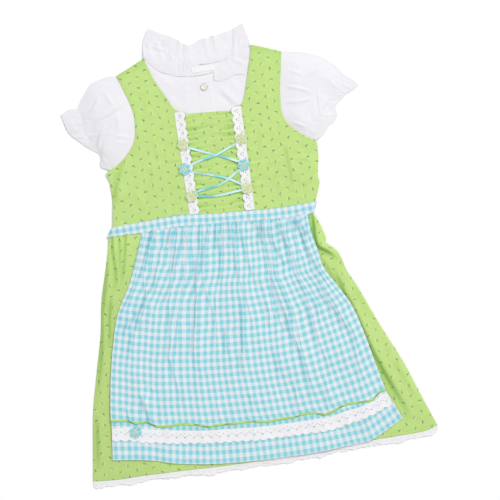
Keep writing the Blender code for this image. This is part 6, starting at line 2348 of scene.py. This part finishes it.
# ---- blouse -------------------------------------------------------------------------------
@dataclass
class Blouse:
    """Body of the blouse: back, front, button placket, button and the bare neck label."""

    wardrobe: Wardrobe
    size: tuple = (250.0, 190.0)
    step: float = 1.8               # of the front's grid
    back_step: float = 2.4
    placket: tuple = ((6.5, 28.5), (159.5, 217.5))      # spans in x and in y
    label: tuple = ((1.2, 36.8), (223.4, 232.2))
    button: tuple = (16.7, 200.6, 3.9)                  # middle of its underside
    thread_level: float = 5.1
    #: of the button's section, from its hollow over the rim to its underside: reach, height
    profile: tuple = ((1.6, 1.25), (2.9, 1.3), (3.6, 1.5), (4.1, 1.85), (4.6, 2.0),
                      (5.0, 1.85), (5.3, 1.4), (5.3, 0.7), (5.0, 0.3), (4.2, 0.15))
    hidden: tuple = ((-123, 66), (147, 66))             # lower corners, under the bodice
    creases: tuple = (
        Crease(70, 160, 38, 200, 1.2, 4.6, 1.5), Crease(34, 190, 56, 166, -0.5, 5.0),
        Crease(-40, 196, -22, 172, 0.5, 5.0), Crease(-8, 214, -16, 172, 0.4, 5.5),
        Crease(54, 206, 72, 186, 0.6, 4.5), Crease(-48, 224, -26, 206, 0.5, 4.5))

    def front_top(self, plan: Array) -> Array:
        """Upper face of the front: creased only where no strap lies on it.

        Args:
            plan: places, any shape by 2.

        Returns:
            Heights in mm.
        """
        x, y = plan[..., 0], plan[..., 1]
        shown = np.minimum(x - x_at(NECK_LEFT, y), x_at(NECK_RIGHT, y) - x)
        open_share = smooth(np.minimum(shown, y - 160.0) / 9.0)
        folds = relief(plan, self.creases) + rumple(plan, 0.2, 131)
        below_neck = y_at(BLOUSE_NECK_FRONT, x) - y
        down = 0.66 * (1 - smooth(below_neck / 9.0))
        return BLOUSE_FRONT_LEVEL + THIN_WALL + 0.08 + open_share * folds - down

    def plan(self, neck: Points, step: float) -> Array:
        """Plan of a body panel, up each armhole from a fifth of its length.

        What is below lies hidden under the bodice, and gets a straight side to its corner.

        Args:
            neck: points of the neckline.
            step: width of a cell, in mm.

        Returns:
            Plan grid.
        """
        columns, rows = (even(size, step) for size in self.size)
        stations = np.linspace(0, 1, rows + 1)
        left, right = (
            resample(np.vstack([[corner], offset(curve(arm, 200), out)[40:]]), stations)
            for corner, arm, out in zip(self.hidden, (ARMHOLE_LEFT, ARMHOLE_RIGHT), (-2.4, 2.4)))
        left[-1] += (0.5, -2.0)
        right[-1] -= (0.5, 2.0)
        upper = chain(columns, (tuple(left[-1]), neck[0]), neck, (neck[-1], tuple(right[-1])))
        return fill(curve((tuple(left[0]), tuple(right[0])), columns), upper, left, right)

    def build_button(self) -> bpy.types.Object:
        """Turned disc with a raised rim and a hollow middle.

        Returns:
            The finished button.
        """
        angle = np.linspace(0, 2 * np.pi, 48, endpoint=False)
        reach, height = np.array(self.profile).T[:, :, None]
        rings = np.stack(np.broadcast_arrays(reach * np.cos(angle), reach * np.sin(angle), height),
                         axis=-1).reshape(-1, 3)
        index = np.arange(len(rings)).reshape(-1, len(angle))
        after = np.roll(index, -1, axis=1)
        faces = np.stack([index[:-1], index[1:], after[1:], after[:-1]], axis=-1)
        ends = [tuple(index[0].tolist()), tuple(index[-1][::-1].tolist())]
        return mesh_object("button_pearl_disc", rings + self.button,
                           faces.reshape(-1, 4).tolist() + ends, rings[:, :2],
                           self.wardrobe.pearl)

    def build_button_thread(self) -> bpy.types.Object:
        """Two bars of two threads each across the middle of the button.

        Returns:
            The finished thread.
        """
        parts = []
        x, y, _ = self.button
        share = np.linspace(-1, 1, 9)
        for side in (-0.85, 0.85):
            for lift, shift in ((0.0, -0.16), (0.06, 0.14)):
                path = np.column_stack([np.full(len(share), x + side + shift), y + 1.25 * share,
                                        self.thread_level + lift + 0.32 * (1 - share ** 4)])
                parts.append(yarn(path, 0.2, 6, False))
        points, faces = joined(parts)
        return mesh_object("button_thread", points, faces, None, self.wardrobe.white_thread)

    def build(self) -> None:
        """Make the body's pieces and put them in place."""
        wardrobe = self.wardrobe
        plan = self.plan(BLOUSE_NECK_FRONT, self.step)
        front = shell("blouse_front_cloth", plan, self.front_top(plan), THIN_WALL,
                      wardrobe.white)
        plan = self.plan(BLOUSE_NECK_BACK, self.back_step)
        neck = ramp(plan[..., 1], 214, 224)
        top = (BLOUSE_BACK_LEVEL + THIN_WALL + 0.05
               + neck * np.maximum(rumple(plan, 0.2, 137), -0.1))
        back = shell("blouse_back_cloth", plan, top, THIN_WALL, wardrobe.white)
        plan, inside = oblong(self.placket, 25, 37)
        wall = 0.24 + 0.32 * smooth(inside / 2.4)
        placket = shell("blouse_placket_cloth", plan, self.front_top(plan) - 0.22 + wall, wall,
                        wardrobe.white)
        plan, inside = oblong(self.label, 37, 11)
        top = 2.6 + 0.14 * smooth(1 - inside / 3.0) + 0.1 * np.sin(plan[..., 0] / 4.0)
        label = shell("neck_label_woven", plan, top, 0.4, wardrobe.label)
        button, thread = self.build_button(), self.build_button_thread()
        sheet = wardrobe.sheet
        sheet(front, Slot.BLOUSE, "blouse_front", (262, 190), Held.LAID, ["blouse_back"], 0.75)
        sheet(back, Slot.BLOUSE, "blouse_back", (262, 190), Held.LAID, ["bodice_back"], 0.75)
        sheet(placket, Slot.BLOUSE, "blouse_placket", (22, 52), Held.LAID, ["blouse_front"])
        wardrobe.place(label, Slot.LABEL, "neck_label")
        wardrobe.place(button, Slot.BUTTON, "button")
        wardrobe.place(thread, Slot.BUTTON)


SLEEVE_LEFT_CREASES = (
    Crease(-181, 172, -160, 176, 0.9, 2.0), Crease(-182, 172, -189, 159, 0.8, 1.9),
    Crease(-155, 186, -139, 212, 1.0, 2.8), Crease(-99, 198, -156, 173, 1.4, 2.6, 3.0),
    Crease(-133, 219, -120, 188, 0.9, 2.8), Crease(-135, 167, -155, 128, 1.7, 2.5, -3.0),
    Crease(-152, 121, -141, 102, 0.9, 2.2), Crease(-129, 148, -99, 142, 0.9, 2.4),
    Crease(-128, 138, -104, 133, 0.8, 2.2), Crease(-117, 181, -119, 158, 0.9, 2.6),
    Crease(-150, 230, -110, 220, 0.8, 2.8), Crease(-168, 152, -140, 154, 0.9, 2.3))
SLEEVE_RIGHT_CREASES = (
    Crease(172, 194, 198, 207, 1.0, 2.5), Crease(145, 206, 166, 197, 1.0, 2.6),
    Crease(133, 184, 177, 167, 1.1, 2.5, 2.0), Crease(129, 162, 182, 162, 1.3, 2.4, -4.0),
    Crease(198, 158, 187, 139, 1.0, 2.3), Crease(165, 116, 168, 105, 0.8, 2.3),
    Crease(137, 131, 160, 117, 1.0, 2.6), Crease(144, 220, 166, 215, 0.8, 2.7),
    Crease(186, 131, 208, 131, 0.8, 2.1), Crease(180, 168, 180, 126, -0.8, 2.2),
    Crease(200, 190, 214, 168, 0.8, 2.6))


@dataclass
class Sleeve:
    """Puff sleeve: gathered at the armhole, elastic near the cuff, then a frill."""

    wardrobe: Wardrobe
    name: str
    armhole: Points
    away: float                     # how far its seam stands off the armhole, to the left
    upper_edge: Points
    cuff: Points
    under: Points
    creases: tuple
    seed: int
    elastic: float = 0.78           # where it is, from 0 at the armhole to 1 at the frill's edge
    puff: float = 4.6               # height
    arm_gathers: float = 12.0       # across the upper side
    cuff_gathers: float = 14.0
    frill_waves: float = 5.5
    cut: tuple = (170.0, 120.0)     # width of one side and length, undone
    rows: int = 76
    columns: int = 104

    def plan(self) -> tuple[Array, Array, Array]:
        """Fill the outline, with columns closer at both edges.

        Returns:
            The grid, each column's place from the under edge to the upper one, and each
            row's from the armhole to the frill's edge, both from 0 to 1.
        """
        arm = offset(curve(self.armhole, 240), self.away)
        start = int(np.argmin(np.linalg.norm(arm - np.array(self.under[0]), axis=1)))
        steps = np.linspace(0, 1, self.columns + 1)
        across = 0.2 * steps + 0.8 * wave(steps / 2)
        arm = resample(arm[start:], across)
        along_top = curve((tuple(arm[-1]), *self.upper_edge[1:]), self.rows)
        along_under = curve((tuple(arm[0]), *self.under[1:]), self.rows)
        grid = fill(arm, resample(curve(self.cuff, 300), across), along_under, along_top)
        return grid, across[None], np.linspace(0, 1, self.rows + 1)[:, None]

    def build(self) -> None:
        """Raise the puff and its gathers, and close it as a flattened tube.

        The height over the floor is the pressed edge, plus the puff and its creases between
        the armhole and the elastic, plus gathers at both, plus the frill's waves beyond.
        """
        plan, across, along = self.plan()
        from_edge = np.minimum(across, 1 - across)
        side = smooth(from_edge / 0.26) ** 0.8
        body = smooth(along / 0.24) * smooth((self.elastic + 0.1 - along) / 0.4)
        drift = 0.9 * np.sin(6.0 * across + self.seed) + 0.5 * np.sin(17.0 * across + 2.0)
        at_arm = (wave(self.arm_gathers * across + drift) * np.exp(-along / 0.10)
                  * smooth(along / 0.03))
        uneven = 0.45 + 0.55 * wave(2.3 * across + 0.1 * self.seed)
        near = np.abs(along - self.elastic + 0.04 * np.sin(9.0 * across + self.seed))
        at_cuff = wave(self.cuff_gathers * across + 1.6 * drift) * np.exp(-near / 0.12) * uneven
        pinch = np.exp(-(near / 0.03) ** 2)
        frill = ramp(along, self.elastic + 0.02, 1.0)
        turn = self.frill_waves * across + drift
        held = smooth(from_edge / 0.1)
        edge = 3.0 + held - (1.8 + held) * smooth((along - 0.03) / 0.9)
        crest = edge + side * (self.puff * body + 0.4 * at_arm + 1.05 * at_cuff * (1 - pinch)
                               + wave(turn) * frill + 0.7 * (1 - body) * smooth(along / 0.06)
                               + 1.2 * relief(plan, self.creases) * smooth(along / 0.05)
                               + rumple(plan, 0.72, self.seed) * smooth(along / 0.1))
        crest = crest - 0.35 * pinch * side * uneven
        rolled = smooth((along - 0.88) / 0.12)
        crest = np.maximum(crest - 0.8 * rolled * (crest - 1.3), 1.15)
        ripple = 0.55 * frill[..., None] * np.sin(2 * np.pi * turn)[..., None]
        plan = plan + ripple * unit(np.gradient(plan, axis=0)) * 0.7
        puckers = 0.3 * at_arm + 0.3 * at_cuff + 0.25 * frill * wave(7 * across + 0.4)
        low = puckers + side * (0.3 * relief(plan, self.creases) + rumple(plan, 0.2, self.seed))
        pick = np.arange(0, self.columns + 1, 2)
        lower = np.dstack([plan, GROUND + np.clip(low, 0.0, 0.42)])[:, pick]
        uv = spread(across * self.cut[0], along * self.cut[1])
        piece = tube_wall(f"{self.name}_cloth", np.dstack([plan, crest]), lower, THIN_WALL, uv,
                          uv[:, pick] + (200.0, 0.0), self.wardrobe.white)
        self.wardrobe.sheet(piece, Slot.BLOUSE, self.name, (340, 118), Held.GATHERED,
                            ["bodice_back"], 0.62)


@dataclass
class Collar:
    """Frilled collar: the back stands beyond the neckline and the fronts fall over it."""

    wardrobe: Wardrobe
    blouse: Blouse
    step: float = 1.2
    left_creases: tuple = (
        Crease(-45, 285, -38, 245, 0.9, 3.0), Crease(-58, 284, -54, 252, 0.8, 2.6),
        Crease(-61, 262, -38, 258, 0.6, 2.4), Crease(-52, 272, -30, 262, 0.7, 2.4),
        Crease(-28, 262, -22, 246, 0.8, 2.6))
    right_creases: tuple = (
        Crease(74, 272, 68, 236, 0.9, 3.0), Crease(84, 268, 74, 248, 0.8, 2.6),
        Crease(64, 236, 82, 226, 0.8, 2.8), Crease(44, 226, 60, 212, 0.5, 3.2))

    def frill(self, name: str, plan: Array, level: Array, waves: float, height: float,
              seed: int, free: Array | float = 1.0, creases: Sequence[Crease] = (),
              sunk: float = 0.22) -> bpy.types.Object:
        """A ruffle from its seam, row 0, to its free edge.

        The height is waves times the rise to the power 1.3, plus fine gathers that fade
        from the seam, plus creases; the free edge also wanders in plan. Its wall is rolled
        thin at the seam, so that it lies flush with what it is sewn to.

        Args:
            name: the piece's name.
            plan: rows by columns by 2.
            level: the under side.
            waves: how many along the frill.
            height: of the waves.
            seed: picks their drift.
            free: share of the waves left, 0 where a flap lies on the frill.
            creases: listed folds.
            sunk: how far its seam lies below, inside the cloth that it is sewn to.

        Returns:
            The frill.
        """
        rise = np.linspace(0, 1, plan.shape[0])[:, None]
        across = np.linspace(0, 1, plan.shape[1])[None]
        drift = 0.55 * np.sin(7.0 * across + seed) + 0.3 * np.sin(19.0 * across + 2 * seed)
        turn = waves * across + drift
        fine = wave(2.1 * waves * across + 1.9 * drift) * np.exp(-rise / 0.3) * smooth(rise / 0.1)
        big = wave(turn) * rise ** 1.3
        small = wave(2.3 * turn + 0.3) * rise * 0.3
        out = unit(np.gradient(plan, axis=0))
        plan = plan + out * (rise ** 2 * np.sin(2 * np.pi * turn + 0.8))[..., None]
        raised = free * (height * (big + small) + 0.3 * fine + 0.3 * rise * swell(plan, 16.0, seed)
                         + 0.35 * smooth(rise / 0.2) * swell(plan, 30.0, seed + 40)
                         + relief(plan, creases))
        under = level + np.maximum(raised, -0.2) - sunk * (1 - smooth(rise / 0.15))
        under = np.maximum(under, GROUND)
        wall = THIN_WALL * (0.2 + 0.8 * smooth(rise / 0.3) - 0.4 * smooth((rise - 0.8) / 0.2))
        return shell(name, plan, under + wall, wall, self.wardrobe.white,
                     uv=spread(across * 1.9 * waves * 14, rise * 52.0))

    def back_level(self, plan: Array) -> Array:
        """Under side of the back frill: on the neckline, then down to the floor."""
        beyond = plan[..., 1] - y_at(BLOUSE_NECK_BACK, plan[..., 0])
        return GROUND + 2.15 * (1 - smooth(beyond / 24.0))

    def flap_level(self, plan: Array) -> Array:
        """Under side of a front flap: flush with the front, then on the back frill.

        Args:
            plan: places, any shape by 2.

        Returns:
            Heights in mm.
        """
        beyond = plan[..., 1] - y_at(BLOUSE_NECK_FRONT, plan[..., 0])
        share = smooth(beyond / 26.0)
        front = self.blouse.front_top(plan) + 0.03
        return front * (1 - share) + (self.back_level(plan) + THIN_WALL + 0.25) * share

    def plan(self, seam: Array, free: Array, depth: float, first: Points = (),
             last: Points = ()) -> Array:
        """Plan from a seam to a free edge; its two sides go by way of first and last."""
        rows = even(depth, self.step)
        return fill(seam, free, curve((tuple(seam[0]), *first, tuple(free[0])), rows),
                    curve((tuple(seam[-1]), *last, tuple(free[-1])), rows))

    def build(self) -> None:
        """Make the three frills and put them in place."""
        columns = even(170, self.step)
        plan = self.plan(curve(BLOUSE_NECK_BACK, columns) - (0.0, 1.2),
                         curve(COLLAR_TOP, columns), 42, ((-66.2, 277),), ((91.5, 270),))
        bare = ramp(plan[..., 0], -34, -8) * ramp(plan[..., 0], 70, 58)
        back = self.frill("collar_back_frill", plan, self.back_level(plan), 5.5, 1.5, 3, bare)
        columns = even(85, self.step)
        plan = self.plan(curve(COLLAR_LEFT_SEAM, columns) - (0.8, 1.8),
                         curve(COLLAR_LEFT_FREE, columns), 44,
                         last=((-66.4, 270), (-64.4, 282)))
        left = self.frill("collar_front_left_frill", plan, self.flap_level(plan), 3.4, 0.9, 5,
                          creases=self.left_creases)
        columns = even(88, self.step)
        plan = self.plan(curve(COLLAR_RIGHT_SEAM, columns), curve(COLLAR_RIGHT_FREE, columns), 40)
        right = self.frill("collar_front_right_frill", plan, self.flap_level(plan), 2.2, 0.6, 8,
                           creases=self.right_creases)
        sheet = self.wardrobe.sheet
        sheet(back, Slot.BLOUSE, "collar_back", (260, 45), Held.GATHERED, ["blouse_back"], 0.6)
        sheet(left, Slot.BLOUSE, "collar_front_left", (130, 45), Held.GATHERED,
              ["collar_back"], 0.6)
        sheet(right, Slot.BLOUSE, "collar_front_right", (130, 45), Held.GATHERED,
              ["blouse_front"], 0.6)


# ---- sewing -------------------------------------------------------------------------------
@dataclass
class Sewing:
    """Rows of top stitching that hold the hems and the laces."""

    wardrobe: Wardrobe
    bodice: Bodice
    skirt: Skirt
    apron: Apron
    above: float = 0.06         # how far the thread's middle lies over the cloth

    def build(self) -> None:
        """Stitch the dress in lime and the apron and the laces in white, a piece for each."""
        bodice, apron, above = self.bodice, self.apron, self.above
        dress = [raised_line(offset(curve(table, 200), margin)[skipped:-3], top, above)
                 for table, margin, skipped, top in (
                     (NECK_LEFT, 3.0, 4, bodice.left_top), (NECK_RIGHT, -3.0, 4, bodice.right_top),
                     (ARMHOLE_LEFT, -3.0, 6, bodice.left_top),
                     (ARMHOLE_RIGHT, 3.0, 6, bodice.right_top))]
        dress.append(raised_line(offset(curve(SKIRT_HEM, 600), 6.0)[12:-12],
                                 self.skirt.front_top, above))
        seams = [raised_line(offset(curve(APRON_HEM, 500), 8.0)[12:-12], apron.band_top, above)]
        lace = [raised_line(offset(curve(LACE_UPPER, 500), -1.5)[3:-3], apron.lace_top, above)]
        strips = BodiceLaces(self.wardrobe, bodice)
        lace += [raised_line(strips.line(row, 1.5, 2.0, 120), strips.level, above)
                 for row in strips.rows]
        threads = self.wardrobe
        made = [stitches("dress_stitches", dress, threads.lime_thread),
                stitches("apron_stitches", seams, threads.white_thread),
                stitches("lace_stitches", lace, threads.white_thread, radius=0.16)]
        for piece, slot in zip(made, (Slot.DRESS, Slot.APRON, Slot.LACE)):
            threads.place(piece, slot)


# ---- studio -------------------------------------------------------------------------------
@dataclass
class Studio:
    """Pale floor, soft light from above and the camera."""

    middle: tuple[float, float] = (48.5, -51.2)
    view_width: float = 750.0
    roll: float = 8.5
    lens: float = 90.0
    sensor: float = 36.0
    sky: float = 0.507
    floor_reach: float = 9000.0
    floor_level: float = -0.02
    #: of each lamp: name, place and size in metres, power in watts
    lamps: tuple = (("key", (2.2, 2.0, 3.2), 1.6, 115.0), ("fill", (-2.4, -1.4, 3.0), 1.8, 32.0))

    def build_floor(self) -> None:
        """A wide sheet of paper under the set."""
        points = np.array([(x * self.floor_reach, y * self.floor_reach, self.floor_level)
                           for x, y in ((-1, -1), (1, -1), (1, 1), (-1, 1))])
        floor = mesh_object("studio_floor", points, [(0, 1, 2, 3)], None,
                            StudioPaper().material())

    def build_lights(self) -> None:
        """An even sky, and the lamps, which all point at the middle of the set."""
        world = bpy.data.worlds.new("studio_light")
        world.use_nodes = True
        background = world.node_tree.nodes["Background"]
        background.inputs["Color"].default_value = (1.0, 1.0, 1.0, 1.0)
        background.inputs["Strength"].default_value = self.sky
        bpy.context.scene.world = world
        for name, place, size, power in self.lamps:
            lamp = bpy.data.lights.new(f"{name}_lamp", "AREA")
            lamp.size = size
            lamp.energy = power
            made = bpy.data.objects.new(f"{name}_lamp", lamp)
            made.location = place
            made.rotation_euler = (-Vector(place)).to_track_quat("-Z", "Y").to_euler()
            bpy.context.scene.collection.objects.link(made)

    def build_camera(self) -> None:
        """Straight above the middle of the frame, rolled so that the set leans as it lies."""
        data = bpy.data.cameras.new("camera")
        data.type = "PERSP"
        data.lens = self.lens
        data.sensor_width = self.sensor
        data.clip_end = 20.0
        camera = bpy.data.objects.new("camera", data)
        height = self.view_width * MM * self.lens / self.sensor
        camera.location = ((self.middle[0] - PLACE[0]) * MM, (self.middle[1] - PLACE[1]) * MM,
                           height)
        camera.rotation_euler = (0.0, 0.0, -math.radians(self.roll))
        bpy.context.scene.collection.objects.link(camera)
        bpy.context.scene.camera = camera

    def build(self) -> None:
        """Floor, lights, camera and a plain view of their brightness."""
        self.build_floor()
        self.build_lights()
        self.build_camera()
        bpy.context.scene.view_settings.view_transform = "Standard"


def main() -> None:
    """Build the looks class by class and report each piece."""
    logging.basicConfig(level=logging.INFO, format="%(message)s")
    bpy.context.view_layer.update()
    Studio().build()
    wardrobe = Wardrobe()
    bodice = Bodice(wardrobe)
    bodice.build()
    skirt = Skirt(wardrobe)
    skirt.build()
    HemLace(wardrobe).build()
    BodiceLaces(wardrobe, bodice).build()
    Lacing(wardrobe).build()
    apron = Apron(wardrobe)
    for row in FLOWERS:
        Flower(wardrobe, *row).build()
    x, y = APRON_FLOWER
    Flower(wardrobe, "flower_apron", x, y, apron.rest(x, y, 7.0), Slot.AQUA, 0.5).build()
    apron.build()
    blouse = Blouse(wardrobe)
    blouse.build()
    Sleeve(wardrobe, "sleeve_left", ARMHOLE_LEFT, -1.0, SLEEVE_LEFT_TOP, SLEEVE_LEFT_CUFF,
           SLEEVE_LEFT_UNDER, SLEEVE_LEFT_CREASES, 13).build()
    Sleeve(wardrobe, "sleeve_right", ARMHOLE_RIGHT, 1.0, SLEEVE_RIGHT_TOP, SLEEVE_RIGHT_CUFF,
           SLEEVE_RIGHT_UNDER, SLEEVE_RIGHT_CREASES, 17).build()
    Collar(wardrobe, blouse).build()
    Sewing(wardrobe, bodice, skirt, apron).build()


if __name__ == "__main__":
    main()
